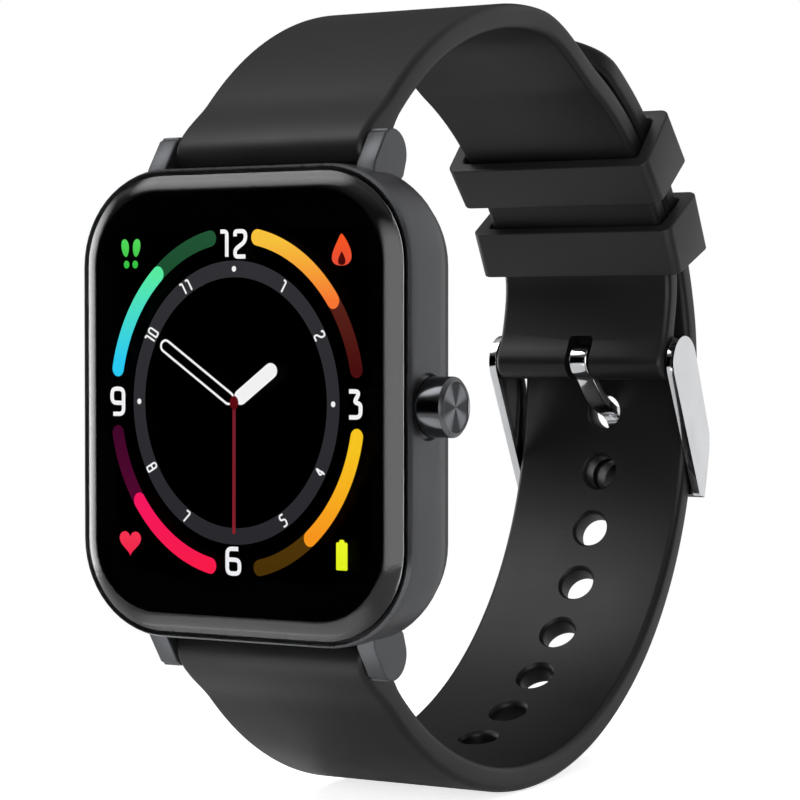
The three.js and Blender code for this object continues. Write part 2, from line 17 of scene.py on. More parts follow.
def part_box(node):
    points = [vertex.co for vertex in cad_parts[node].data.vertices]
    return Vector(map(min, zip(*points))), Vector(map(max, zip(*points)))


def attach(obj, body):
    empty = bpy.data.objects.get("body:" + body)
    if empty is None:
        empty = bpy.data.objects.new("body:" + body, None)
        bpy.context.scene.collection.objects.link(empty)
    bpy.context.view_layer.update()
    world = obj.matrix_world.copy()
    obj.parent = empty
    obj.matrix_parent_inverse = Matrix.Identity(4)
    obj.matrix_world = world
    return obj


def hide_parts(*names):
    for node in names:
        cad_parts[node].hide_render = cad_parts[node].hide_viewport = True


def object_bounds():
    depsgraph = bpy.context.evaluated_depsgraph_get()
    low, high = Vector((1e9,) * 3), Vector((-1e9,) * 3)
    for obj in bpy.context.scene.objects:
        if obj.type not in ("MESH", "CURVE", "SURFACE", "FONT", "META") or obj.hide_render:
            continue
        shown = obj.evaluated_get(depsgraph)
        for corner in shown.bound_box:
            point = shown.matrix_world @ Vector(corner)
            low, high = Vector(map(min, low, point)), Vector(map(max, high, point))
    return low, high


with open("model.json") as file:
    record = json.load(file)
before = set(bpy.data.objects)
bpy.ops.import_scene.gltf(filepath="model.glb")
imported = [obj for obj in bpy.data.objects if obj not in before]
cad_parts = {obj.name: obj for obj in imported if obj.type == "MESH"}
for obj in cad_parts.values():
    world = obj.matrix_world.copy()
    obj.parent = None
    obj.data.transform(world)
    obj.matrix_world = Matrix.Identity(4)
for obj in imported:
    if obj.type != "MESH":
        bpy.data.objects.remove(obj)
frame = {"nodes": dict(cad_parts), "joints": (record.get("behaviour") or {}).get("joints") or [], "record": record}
CAD_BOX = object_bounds()
MM = 0.001
JOINTS = {joint["name"]: joint for joint in frame["joints"]}
scene = bpy.context.scene


# %% [markdown]
# ## Sizes
# The frame is in metres. Everything below is drawn in millimetres, because that is how a watch is
# drawn, and one function turns it to metres when a mesh is made. The driving sizes are read from the
# frame: the glass gives the face, the bars give the lugs, and two joint axes give the strap loop.

# %% Sizes from the frame
def box_mm(node):
    low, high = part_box(node)
    return np.array(low) / MM, np.array(high) / MM


def middle(node):
    low, high = box_mm(node)
    return (low + high) / 2


GLASS_LOW, GLASS_HIGH = box_mm("cover_glass")
CASE_LOW, CASE_HIGH = box_mm("case_body")
GLASS_HALF = (GLASS_HIGH[0], GLASS_HIGH[2])
GLASS_CORNER = 8.8
SEAM = 0.34
CASE_HALF = (CASE_HIGH[0], GLASS_HALF[1] + 0.6)
CASE_FRONT = CASE_LOW[1]
LOOP = np.array(JOINTS["free_keeper_slide"]["pos_m"][1:]) / MM
BUCKLE_PIN = np.array(JOINTS["buckle_tilt"]["pos_m"][1:]) / MM
LUG_BAR = middle("upper_bar_tube")[1:]
LOOP_RADIUS = float(np.hypot(*(LUG_BAR - LOOP)))
LUG_ANGLE = degrees(atan2(*(LUG_BAR - LOOP)[::-1]))
PIN_ANGLE = degrees(atan2(*(BUCKLE_PIN - LOOP)[::-1]))
STRAP_HALF = 10.85
STRAP_THICK = 2.7
print("face", GLASS_HALF, "loop radius", round(LOOP_RADIUS, 2), "lug angle", round(LUG_ANGLE, 2))


# %% [markdown]
# ## Small helpers
# A node tree could be drawn one node and one link at a time. One function adds a node with its
# inputs and links in a single line, and a few shorter ones stand for the sums used most.

# %% Helpers for node trees
def add_node(tree, kind, inputs=None, **settings):
    made = tree.nodes.new(kind)
    for key, value in settings.items():
        setattr(made, key, value)
    for key, value in (inputs or {}).items():
        if isinstance(value, bpy.types.NodeSocket):
            tree.links.new(value, made.inputs[key])
        else:
            made.inputs[key].default_value = value
    return made


def calc(tree, operation, *values):
    return add_node(tree, "ShaderNodeMath", dict(enumerate(values)), operation=operation).outputs[0]


def vector_calc(tree, operation, *values):
    made = add_node(tree, "ShaderNodeVectorMath", dict(enumerate(values)), operation=operation)
    return made.outputs["Value" if operation in ("DOT_PRODUCT", "DISTANCE", "LENGTH") else "Vector"]


def remap(tree, value, from_low, from_high, to_low=0.0, to_high=1.0, kind="LINEAR"):
    return add_node(tree, "ShaderNodeMapRange", {
        "Value": value, "From Min": from_low, "From Max": from_high, "To Min": to_low,
        "To Max": to_high}, interpolation_type=kind).outputs["Result"]


def linear(hex_code):
    values = [int(hex_code[i:i + 2], 16) / 255 for i in (1, 3, 5)]
    return [v / 12.92 if v <= 0.04045 else ((v + 0.055) / 1.055) ** 2.4 for v in values] + [1.0]


def link_object(name, data):
    made = bpy.data.objects.new(name, data)
    scene.collection.objects.link(made)
    return made


def full_circle(count):
    return np.linspace(0, 2 * pi, count, endpoint=False)


# %% [markdown]
# ## Camera and studio
# A product studio could be built from area lights, but their hard edges would show in the rolled
# glass. Here the lights are soft boxes with feathered edges, drawn in the world. A dark flag covers
# what the flat glass mirrors, so the glass looks deep black while its rolled edges catch the light.
# The camera is a long lens a little right of the dial.

# %% Camera
EYE = Vector((147.114, -225.836, 6.777)) * MM
AIM = Vector((1.396, 17.0, -0.067)) * MM
camera_data = bpy.data.cameras.new("camera")
camera_data.lens = 124.04
camera_data.sensor_width = 36.0
camera_data.clip_start = 0.01
camera = link_object("camera", camera_data)
camera.location = EYE
camera.rotation_euler = (AIM - EYE).to_track_quat("-Z", "Y").to_euler()
scene.camera = camera
scene.view_settings.view_transform = "Standard"


# %% World: white to the camera, a dim room with feathered soft boxes to everything else
SOFT_BOXES = [
    # name, azimuth, elevation, bright half angle, feathered half angle, radiance
    ("top", -57, 53, 9, 26, 3.4),
    ("left", -92, -2, 10, 30, 3.5),
    ("right", 32, 0, 16, 36, 3.2),
    ("back", 150, 6, 16, 50, 0.8),
]
ROOM_LEVEL, CEILING_LEVEL = 0.11, 0.65
FLAG_AZIMUTH, FLAG_STARTS, FLAG_FULL = -31, 0.85, 0.945
WHITE_LIGHT = (1, 1, 1, 1)


def toward(azimuth, elevation):
    a, e = radians(azimuth), radians(elevation)
    return (sin(a) * cos(e), -cos(a) * cos(e), sin(e))


world = bpy.data.worlds.new("studio")
scene.world = world
world.use_nodes = True
sky = world.node_tree
sky.nodes.clear()
direction = add_node(sky, "ShaderNodeTexCoord").outputs["Generated"]
height = add_node(sky, "ShaderNodeSeparateXYZ", {0: direction}).outputs["Z"]
total = remap(sky, height, 0.5, 1.0, ROOM_LEVEL, CEILING_LEVEL, "SMOOTHSTEP")
for name, azimuth, elevation, bright, feather, radiance in SOFT_BOXES:
    aligned = vector_calc(sky, "DOT_PRODUCT", direction, toward(azimuth, elevation))
    glow = remap(sky, aligned, cos(radians(feather)), cos(radians(bright)), 0.0, radiance, "SMOOTHSTEP")
    total = calc(sky, "ADD", total, glow)
aligned = vector_calc(sky, "DOT_PRODUCT", direction, toward(FLAG_AZIMUTH, 0))
flag = remap(sky, aligned, FLAG_STARTS, FLAG_FULL, 1.0, 0.0, "SMOOTHSTEP")
total = calc(sky, "MULTIPLY", total, flag)
room_light = add_node(sky, "ShaderNodeBackground", {"Color": WHITE_LIGHT, "Strength": total})
white = add_node(sky, "ShaderNodeBackground", {"Color": WHITE_LIGHT, "Strength": 1.0})
seen = add_node(sky, "ShaderNodeLightPath").outputs["Is Camera Ray"]
picked = add_node(sky, "ShaderNodeMixShader", {0: seen, 1: room_light.outputs[0], 2: white.outputs[0]})
add_node(sky, "ShaderNodeOutputWorld", {"Surface": picked.outputs[0]})

# %% Floor
FLOOR_RADIUS = 0.22
FLOOR_LEVEL = CAD_BOX[0].z - 0.0002
# Centre of the painted pool of light on the floor, where a bounce card would stand
LIGHT_POOL_CENTRE = (-0.011, -0.033, FLOOR_LEVEL)
floor_mesh = bpy.data.meshes.new("floor")
floor_rim = [(FLOOR_RADIUS * cos(t), FLOOR_RADIUS * sin(t), FLOOR_LEVEL) for t in full_circle(96)]
floor_mesh.from_pydata(floor_rim, [], [tuple(range(96))])
floor = link_object("floor", floor_mesh)


# %% [markdown]
# ## Finishes
# Each material is the real one: bead-blasted anodised aluminium for the case, liquid-moulded
# silicone for the strap, chrome-plated steel for the buckle, strengthened glass over black ink.
# Colours are sRGB hex values turned to linear. Grain sizes are in real millimetres, drawn a little
# coarser where the true grain is smaller than a render can show: most finishes are one drifting
# colour and roughness with an optional fine relief, so one function makes them all.

# %% Material helpers
def new_material(name):
    material = bpy.data.materials.new(name)
    material.use_nodes = True
    material.node_tree.nodes.clear()
    return material, material.node_tree


def surface(tree, color, roughness, bump=None, **inputs):
    settings = {"Base Color": color, "Roughness": roughness}
    settings.update({key.replace("_", " "): value for key, value in inputs.items()})
    if bump is not None:
        settings["Normal"] = bump
    shader = add_node(tree, "ShaderNodeBsdfPrincipled", settings)
    add_node(tree, "ShaderNodeOutputMaterial", {"Surface": shader.outputs[0]})


def object_place(tree):
    return add_node(tree, "ShaderNodeTexCoord").outputs["Object"]


def grain(tree, size_mm, detail=2.0, stretch=(1, 1, 1)):
    scaled = add_node(tree, "ShaderNodeMapping", {"Vector": object_place(tree), "Scale": stretch})
    return add_node(tree, "ShaderNodeTexNoise", {
        "Vector": scaled.outputs[0], "Scale": 1.0 / (size_mm * MM), "Detail": detail}).outputs["Fac"]


def spread(tree, value, low, high):
    return remap(tree, value, 0.3, 0.7, low, high)


def shades(tree, value, dark, light):
    ramp = add_node(tree, "ShaderNodeValToRGB", {"Fac": value})
    for stop, position, color in zip(ramp.color_ramp.elements, (0.3, 0.7), (dark, light)):
        stop.position, stop.color = position, linear(color)
    return ramp.outputs["Color"]


def relief(tree, value, height_mm):
    return add_node(tree, "ShaderNodeBump", {
        "Height": value, "Distance": height_mm * MM, "Strength": 1.0}).outputs["Normal"]


def finish(name, drift_mm, dark, light, rough, bump=None, detail=2.0, stretch=(1, 1, 1), **inputs):
    """Colour and roughness that drift; bump is the relief's grain in mm, its detail and height in mm."""
    material, tree = new_material(name)
    drift = grain(tree, drift_mm, detail, stretch)
    if isinstance(rough, tuple):
        rough = spread(tree, drift, *rough)
    normal = None
    if bump:
        normal = relief(tree, grain(tree, bump[0], bump[1]), bump[2])
    surface(tree, shades(tree, drift, dark, light), rough, normal, **inputs)
    return material


# %% [markdown]
# ### Metals
# The case is aluminium, blasted with fine beads and anodised gunmetal grey: a satin, slightly
# uneven sheen with no brush lines. The crown's end is turned on a lathe, so its grooves are rings;
# the four wedges of sheen on it are painted into its colour, in place of reflections.
# The buckle is polished and chrome plated, with the faint hairlines that polishing leaves.

# %% Metals
def turned_steel(centre_mm):
    """Fine rings plus a painted sheen: the colour lightens and darkens four times round the axis."""
    material, tree = new_material("steel_turned_face_painted_sheen")
    centred = add_node(tree, "ShaderNodeMapping", {
        "Vector": object_place(tree), "Location": [-v * MM for v in centre_mm]}).outputs[0]
    across = vector_calc(tree, "CROSS_PRODUCT", (1, 0, 0), centred)
    along_rings = vector_calc(tree, "NORMALIZE", across)
    rings = add_node(tree, "ShaderNodeTexNoise", {
        "W": vector_calc(tree, "LENGTH", across), "Scale": 9000.0, "Detail": 2.0},
        noise_dimensions="1D").outputs["Fac"]
    split = add_node(tree, "ShaderNodeSeparateXYZ", {0: along_rings}).outputs
    # Painted sheen: the colour is lighter where the rings run diagonally, four wedges round the axis
    diagonal = calc(tree, "ABSOLUTE", calc(tree, "MULTIPLY", split["Y"], split["Z"]))
    painted_sheen = remap(tree, diagonal, 0.22, 0.5, 0.18, 0.82)
    light = add_node(tree, "ShaderNodeMix", {"Factor": 0.2, "A": painted_sheen, "B": rings}).outputs["Result"]
    surface(tree, shades(tree, light, "#2c2d31", "#77787d"), spread(tree, rings, 0.24, 0.32),
            Metallic=1.0, Anisotropic=0.8, Tangent=along_rings)
    return material


CASE = finish("anodised_aluminium_bead_blasted", 9.0, "#4c4d4f", "#57585b", (0.36, 0.44),
              (0.16, 1.0, 0.006), Metallic=0.9)
CHAMFER = finish("anodised_aluminium_diamond_cut", 0.5, "#66676a", "#6d6e71", (0.26, 0.32),
                 stretch=(1, 1, 0.1), Metallic=1.0)
CROWN_SIDE = finish("steel_polished_black_coated", 2.0, "#565759", "#5e5f62", (0.12, 0.18),
                    (0.2, 2.0, 0.001), Metallic=1.0)
CROWN_END = turned_steel(middle("crown_cap"))
CHROME = finish("steel_chrome_plated", 4.0, "#d3d4d6", "#dcdde0", (0.04, 0.09), (4.0, 3.0, 0.002),
                detail=3.0, Metallic=1.0)
STEEL = finish("stainless_steel_machined", 0.4, "#9b9da0", "#b3b5b8", (0.22, 0.34),
               stretch=(6, 1, 1), Metallic=1.0)
GOLD = finish("brass_gold_plated", 0.5, "#c9a24d", "#dcb862", (0.2, 0.3), Metallic=1.0)
FOIL = finish("aluminium_foil_pouch", 3.0, "#a9acb0", "#c3c6ca", 0.35, (3.0, 2.0, 0.05), Metallic=0.8)


# %% [markdown]
# ### Silicone, plastic and glass
# Silicone comes from a lightly blasted mould, so it is satin with a fine even tooth, and it shows a
# faint bloom where it is handled. The back cover is glass-filled plastic with a spark-eroded
# texture. The cover glass is clear: the black that one sees is ink printed behind its border.

# %% Silicone, plastic and glass
SILICONE_LOOK = {"rough": (0.40, 0.50), "bump": (0.22, 1.0, 0.01), "detail": 3.0, "IOR": 1.41,
                 "Specular_IOR_Level": 0.42}
SILICONE = finish("silicone_moulded", 14.0, "#0c0c0d", "#111112", **SILICONE_LOOK)
# The keepers use a lighter copy of the strap silicone: painted light, for the light that falls on them
KEEPER_SILICONE_PAINTED_LIGHTER = finish("silicone_moulded_keeper_painted_lighter", 14.0, "#1d1d1e", "#242426", **SILICONE_LOOK)
INK = finish("ink_black_screen_printed", 3.0, "#020202", "#030304", 0.5, Specular_IOR_Level=0.0)
RUBBER = finish("nitrile_rubber", 1.0, "#121212", "#1a1a1a", 0.7)
BOARD = finish("fibreglass_solder_mask", 0.8, "#0e3a26", "#165238", 0.4, detail=3.0)
POLYIMIDE = finish("polyimide_film", 1.5, "#8c4d14", "#a8641f", 0.35)


def textured_plastic():
    material, tree = new_material("polycarbonate_spark_texture")
    pits = grain(tree, 0.25)
    surface(tree, shades(tree, grain(tree, 11.0), "#151516", "#1b1b1d"), spread(tree, pits, 0.42, 0.55),
            relief(tree, pits, 0.012), IOR=1.58)
    return material


def clear_glass():
    material, tree = new_material("strengthened_glass")
    surface(tree, (1, 1, 1, 1), spread(tree, grain(tree, 16.0), 0.0, 0.02), IOR=1.5, Transmission_Weight=1.0)
    return material


def tinted(name, dark, light):
    return finish(f"acrylic_{name}_tinted", 12.0, dark, light, (0.05, 0.09), IOR=1.49)


def pale_floor():
    """White board fading with distance; its glow is painted light, a bright pool round one spot."""
    material, tree = new_material("white_board_with_painted_light_pool")
    board = add_node(tree, "ShaderNodeBsdfDiffuse", {
        "Color": shades(tree, grain(tree, 60.0), "#f4f4f4", "#fafafa"), "Roughness": 0.5})
    place = object_place(tree)
    from_light_pool_centre = vector_calc(tree, "DISTANCE", place, LIGHT_POOL_CENTRE)
    painted_light_pool = remap(tree, from_light_pool_centre, 0.018, 0.034, 1.35, 0.12, "SMOOTHSTEP")
    # The camera sees an even glow; all other rays see the painted pool, standing in for a bounce card
    seen = add_node(tree, "ShaderNodeLightPath").outputs["Is Camera Ray"]
    strength = add_node(tree, "ShaderNodeMix", {"Factor": seen, "A": painted_light_pool, "B": 0.72}).outputs["Result"]
    glow = add_node(tree, "ShaderNodeEmission", {"Color": WHITE_LIGHT, "Strength": strength})
    board_and_painted_glow = add_node(tree, "ShaderNodeAddShader", {0: board.outputs[0], 1: glow.outputs[0]})
    clear = add_node(tree, "ShaderNodeBsdfTransparent")
    fade = remap(tree, vector_calc(tree, "LENGTH", place), 0.09, 0.15, kind="SMOOTHSTEP")
    mixed = add_node(tree, "ShaderNodeMixShader", {0: fade, 1: board_and_painted_glow.outputs[0], 2: clear.outputs[0]})
    add_node(tree, "ShaderNodeOutputMaterial", {"Surface": mixed.outputs[0]})
    return material


PLASTIC = textured_plastic()
GLASS = clear_glass()
LENS = tinted("black", "#060607", "#0a0a0c")
floor.data.materials.append(pale_floor())

# %% Give every CAD node a finish
CAD_FINISH = {
    "case": CASE, "cover_glass": GLASS, "screen": INK, "seal": RUBBER, "crown": CROWN_SIDE,
    "plastic": PLASTIC, "silicone": SILICONE, "chrome": CHROME, "steel": STEEL, "board": BOARD,
    "cell": FOIL, "gold": GOLD, "flex": POLYIMIDE, "sensor_glass": LENS,
}
for part in frame["record"]["subparts"]:
    slots = frame["nodes"][part["node"]].data.materials
    slots.clear()
    slots.append(CAD_FINISH[part["material_slot"]])
print("finishes:", len(bpy.data.materials))


# %% [markdown]
# ## Mesh helpers
# Nearly every piece here is a loft: a row of closed rings joined by quads. A strap is rings of its
# rounded section carried round the loop, the case is rounded rectangles stacked front to back.

# %% Mesh helpers
def smooth(piece, sharp=35, flat_caps=False):
    """Smooth shading with hard edges above sharp degrees; caps with many sides stay flat."""
    mesh = piece.data
    mesh.shade_smooth()
    work = bmesh.new()
    work.from_mesh(mesh)
    for edge in work.edges:
        edge.smooth = len(edge.link_faces) == 2 and edge.calc_face_angle(0.0) < radians(sharp)
    if flat_caps:
        for face in work.faces:
            face.smooth = len(face.verts) <= 4
    work.to_mesh(mesh)
    work.free()


def loft(name, rings, material, closed=False, sharp=35):
    """Closed rings of points in mm joined by quads; the ends are capped, or joined when closed."""
    count, around = len(rings), len(rings[0])
    faces = [(i * around + k, i * around + n, j * around + n, j * around + k)
             for i in range(count if closed else count - 1) for j in [(i + 1) % count]
             for k in range(around) for n in [(k + 1) % around]]
    if not closed:
        faces += [tuple(range(around)), tuple(range((count - 1) * around, count * around))]
    mesh = bpy.data.meshes.new(name)
    mesh.from_pydata([tuple(np.array(p) * MM) for ring in rings for p in ring], [], faces)
    work = bmesh.new()
    work.from_mesh(mesh)
    bmesh.ops.remove_doubles(work, verts=work.verts, dist=1e-7)
    bmesh.ops.recalc_face_normals(work, faces=work.faces)
    work.to_mesh(mesh)
    work.free()
    mesh.materials.append(material)
    piece = link_object(name, mesh)
    smooth(piece, sharp, flat_caps=True)
    return piece


def rounded_outline(half_u, half_v, radius, steps=6):
    """A rounded rectangle as (u, v) points, anticlockwise from the right."""
    radius = max(min(radius, half_u - 1e-4, half_v - 1e-4), 1e-3)
    points = []
    for corner, (su, sv) in enumerate(((1, 1), (-1, 1), (-1, -1), (1, -1))):
        for step in range(steps + 1):
            turn = radians(90 * corner + 90 * step / steps)
            points.append((su * (half_u - radius) + radius * cos(turn),
                           sv * (half_v - radius) + radius * sin(turn)))
    return points


def face_ring(half, radius, y, inset=0.0, steps=14):
    return [(u, y, v) for u, v in rounded_outline(half[0] - inset, half[1] - inset, radius - inset, steps)]


def slab(name, outline, y0, y1, material):
    """A flat outline in X and Z with a thickness in Y."""
    return loft(name, [[(u, y, v) for u, v in outline] for y in (y0, y1)], material)


def lathe(name, profile, axis, centre, material, segments=64, sharp=35, start=(0, 0)):
    """Turns (radius, along) points, counted from start, about an axis through centre."""
    rings = []
    for radius, along in profile:
        radius, along = max(radius + start[0], 1e-4), along + start[1]
        circle = [(centre[0] + radius * cos(t), centre[1] + radius * sin(t)) for t in full_circle(segments)]
        rings.append([(along, a, b) if axis == "X" else (a, along, b) for a, b in circle])
    return loft(name, rings, material, sharp=sharp)


def apply_modifiers(piece):
    """Turns a piece with modifiers into a plain mesh."""
    result = bpy.data.meshes.new_from_object(piece.evaluated_get(bpy.context.evaluated_depsgraph_get()))
    piece.modifiers.clear()
    piece.data = result


def carve(piece, tools, sharp=35, operation="DIFFERENCE"):
    """Cuts the tools out of a piece, or joins them to it, and removes them."""
    for tool in tools:
        step = piece.modifiers.new("carve", "BOOLEAN")
        step.operation, step.solver, step.object = operation, "EXACT", tool
    apply_modifiers(piece)
    for tool in tools:
        bpy.data.objects.remove(tool)
    smooth(piece, sharp)


def combine(name, pieces):
    """Joins several plain meshes into one object, keeping their materials."""
    work = bmesh.new()
    materials = []
    for piece in pieces:
        start = len(work.faces)
        work.from_mesh(piece.data)
        work.faces.ensure_lookup_table()
        own = list(piece.data.materials)
        materials += [material for material in own if material not in materials]
        for face in work.faces[start:]:
            face.material_index = materials.index(own[face.material_index])
        bpy.data.objects.remove(piece)
    mesh = bpy.data.meshes.new(name)
    work.to_mesh(mesh)
    work.free()
    for material in materials:
        mesh.materials.append(material)
    return link_object(name, mesh)


def finish_piece(piece, body, slot, *nodes):
    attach(piece, body)
    if nodes:
        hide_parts(*nodes)
    print(piece.name, "faces", len(piece.data.polygons))


def on_screen(piece):
    finish_piece(piece, "watch", "screen")


# %% [markdown]
# ## Case
# The case is a single machined ring. Its front edge carries a narrow diamond-cut chamfer next to the
# glass, the side is very slightly barrelled, and the back edge rolls under. Four lugs grow from it.
# A loft of rounded rectangles gives the ring. The channels for the strap ends and the recess round
# the crown are cut afterwards; the recess tool is flared so that its rim is not a knife edge.

# %% Case ring
CASE_CORNER = GLASS_CORNER + 0.6
POCKET_INSET = CASE_HALF[0] - GLASS_HALF[0] - SEAM
POCKET_FLOOR = -8.9
WALL_INSET = 2.3
CASE_BACK_EDGE = box_mm("back_cover")[0][1] - 0.3
LIP_DEPTH = 0.52


def case_ring():
    side = [(POCKET_INSET, 0.12), (POCKET_INSET - 0.04, 0.02), (POCKET_INSET - 0.1, 0), (0.09, 0.32),
            (0.02, 0.50), (0.0, 0.65), (-0.02, 1.7), (-0.03, 3.6), (0.0, 5.4), (0.1, 6.4), (0.28, 6.95),
            (0.6, 7.3)]
    profile = [(POCKET_INSET, POCKET_FLOOR)] + [(inset, CASE_FRONT + depth) for inset, depth in side]
    profile += [(1.0, CASE_BACK_EDGE), (WALL_INSET, CASE_BACK_EDGE), (WALL_INSET, POCKET_FLOOR)]
    rings = [face_ring(CASE_HALF, CASE_CORNER, y, inset) for inset, y in profile]
    return loft("case_ring", rings, CASE, closed=True, sharp=30)


case = case_ring()
case.data.materials.append(CHAMFER)
for face in case.data.polygons:
    in_lip = face.center.y / MM < CASE_FRONT + LIP_DEPTH and abs(face.normal.y) > 0.3
    face.material_index = 1 if in_lip else 0


# %% [markdown]
# ## Lugs
# A lug seen from the side has a flat slanted front face and a rounded back. It is drawn once as an
# outline and lofted across its width, with the last rings pulled in to round its edges.

# %% Lugs
LUG_INNER, LUG_OUTER = 11.0, 13.05
LUG_EDGES = [(LUG_INNER, 0.25), (LUG_INNER + 0.07, 0.09), (LUG_INNER + 0.25, 0.0), (LUG_OUTER - 0.2, 0.0),
             (LUG_OUTER - 0.1, 0.03), (LUG_OUTER - 0.03, 0.1), (LUG_OUTER, 0.2)]
CHANNEL_RADIUS = 2.75


def lug_outline(side):
    corner = [(-7.4, 20.6), (-6.95, 22.7), (-5.0, 25.6)]
    top = [(-4.75 + 0.35 * sin(t), 25.75 + 0.3 * (1 - cos(t))) for t in np.linspace(0.2, 1.4, 4)]
    back = [(-3.5 + 2.45 * sin(t), 23.7 + 2.4 * cos(t)) for t in np.linspace(0.0, radians(105), 12)]
    tail = [(-1.7, 21.6), (-2.8, 20.6)]
    return np.array([(y, side * z) for y, z in corner + top + back + tail])


def lug(side_x, side_z):
    outline = lug_outline(side_z)
    outward = outline - outline.mean(axis=0)
    outward = outward / np.linalg.norm(outward, axis=1, keepdims=True)
    rings = [[(side_x * x, y, z) for y, z in outline - outward * shrink] for x, shrink in LUG_EDGES]
    return loft(f"lug_{side_x}_{side_z}", rings, CASE, sharp=32)


crown_low, crown_high = box_mm("crown_cap")
CROWN_RADIUS = (crown_high[2] - crown_low[2]) / 2
CROWN_AXIS = tuple(middle("crown_cap")[1:])
channels = [lathe(f"channel_{side}", [(CHANNEL_RADIUS, -LUG_INNER), (CHANNEL_RADIUS, LUG_INNER)], "X",
                  (LUG_BAR[0], side * LUG_BAR[1]), CASE, 48) for side in (-1, 1)]
recess = lathe("recess", [(0.22, crown_low[0] - 0.6), (0.22, CASE_HALF[0] - 0.12), (0.5, CASE_HALF[0] + 0.2),
                          (0.5, CASE_HALF[0] + 2)], "X", CROWN_AXIS, CASE, start=(CROWN_RADIUS, 0))
carve(case, channels + [recess], 30)
lugs = [lug(sx, sz) for sx in (-1, 1) for sz in (-1, 1)]
finish_piece(combine("case_shell", [case] + lugs), "watch", "case", "case_body")


# %% [markdown]
# ## Cover glass
# The front is almost flat and rolls over at the rim like a drop, which a maker calls a 2.5D edge. It
# is real clear glass with thickness, so the dial below it is seen through it and the edge mirrors the
# room. The black round the dial is a printed mask on its back, a thin plate of its own here.

# %% Cover glass and mask
GLASS_BACK = GLASS_HIGH[1]
GLASS_CREST = GLASS_LOW[1]
RIM = CASE_FRONT - 0.02
ROLL_WIDTH, ROLL_POWER = 1.95, 1.6
MASK_FRONT, MASK_THICK, MASK_OUTER, MASK_INNER = GLASS_BACK + 0.008, 0.012, 0.02, 2.2
FILM_FRONT, FILM_THICK, FILM_INSET = GLASS_BACK + 0.05, 0.07, 1.9


def glass_ring(y, inset=0.0):
    return face_ring(GLASS_HALF, GLASS_CORNER, y, inset)


def cover_glass():
    rings = [glass_ring(GLASS_BACK, 0.08), glass_ring(GLASS_BACK - 0.08), glass_ring(RIM + 0.06)]
    for share in np.linspace(0.02, 1, 16):
        depth = (RIM - GLASS_CREST) * (1 - (1 - share) ** ROLL_POWER)
        rings.append(glass_ring(RIM - depth, ROLL_WIDTH * share))
    rings.append(glass_ring(GLASS_CREST, ROLL_WIDTH + 0.3))
    return loft("cover_glass_domed", rings, GLASS, sharp=50)


def border_mask():
    back = MASK_FRONT + MASK_THICK
    rings = [glass_ring(y, inset) for inset, y in ((MASK_OUTER, MASK_FRONT), (MASK_OUTER, back),
                                                   (MASK_INNER, back), (MASK_INNER, MASK_FRONT))]
    return loft("border_mask", rings, INK, closed=True)


finish_piece(cover_glass(), "watch", "cover_glass", "cover_glass")
finish_piece(border_mask(), "watch", "seal")
film = [glass_ring(y, FILM_INSET) for y in (FILM_FRONT, FILM_FRONT + FILM_THICK)]
on_screen(loft("polarising_film", film, INK))


# %% [markdown]
# ## Dial
# The screen shows an analogue dial: a grey chapter ring, four activity arcs, large quarter numerals,
# two hands and four small pictograms. The graphics are round in the artwork and stretched to fill the
# tall screen, so everything is laid out on a circle and its height is multiplied by one factor.
# Each mark is a lit plate a few hundredths of a millimetre thick under the glass.

# %% Dial layout
DIAL_CENTRE = np.array([-0.8, 0.2])
STRETCH = 1.143
LAYER = 0.008


def on_dial(radius, clock):
    """The point at a clock angle in degrees, clockwise from twelve."""
    return DIAL_CENTRE + radius * np.array([sin(radians(clock)), STRETCH * cos(radians(clock))])


def lit(name, color, to, low_mm=-16.0, high_mm=16.0):
    material, tree = new_material("screen_light_" + name)
    along = add_node(tree, "ShaderNodeSeparateXYZ", {0: object_place(tree)}).outputs["Z"]
    glow = shades(tree, remap(tree, along, low_mm * MM, high_mm * MM, 0.3, 0.7), color, to)
    surface(tree, (0, 0, 0, 1), 0.5, Emission_Color=glow, Emission_Strength=1.0, Specular_IOR_Level=0.0)
    return material


def plate(name, outline, layer, material):
    """A flat lit shape from (x, z) points on the dial, lying on a numbered layer above the screen."""
    y = FILM_FRONT - LAYER * layer
    return slab(name, outline, y, y - LAYER * 0.5, material)


def stroke(name, path, half_width, layer, material, round_ends=True, stretch=1.0):
    """A line of even width along a path, drawn as a thin bar with optional round ends."""
    path = np.array(path, float)
    tangents = np.gradient(path, axis=0)
    tangents /= np.linalg.norm(tangents, axis=1, keepdims=True)
    stations = [(p, t, 1.0) for p, t in zip(path, tangents)]
    if round_ends:
        turns = np.radians(np.linspace(85, 12, 7))
        first, last = [[(path[end] + way * tangents[end] * half_width * sin(a), tangents[end], cos(a))
                        for a in angles] for end, way, angles in ((0, -1, turns), (-1, 1, turns[::-1]))]
        stations = first + stations + last
    back = FILM_FRONT - LAYER * layer
    front = back - LAYER * 0.5
    rings = []
    for point, tangent, share in stations:
        side = np.array([-tangent[1], tangent[0]]) * half_width * share
        left, right = (point + side) * (1, stretch), (point - side) * (1, stretch)
        corners = ((left, back), (right, back), (right, front), (left, front))
        rings.append([(x, y, z) for (x, z), y in corners])
    return loft(name, rings, material)


def arc_stroke(name, radius, start, end, half_width, layer, material):
    turns = np.radians(np.linspace(start, end, max(8, int(abs(end - start) / 2))))
    path = np.stack([radius * np.sin(turns), radius * np.cos(turns)], -1)
    base = np.array([DIAL_CENTRE[0], DIAL_CENTRE[1] / STRETCH])
    return stroke(name, path + base, half_width, layer, material, True, STRETCH)


# %% [markdown]
# The numerals are square-shouldered strokes. Each digit is a short path in a unit box. Its corners
# are rounded before the stroke is drawn, so any size keeps the same look.

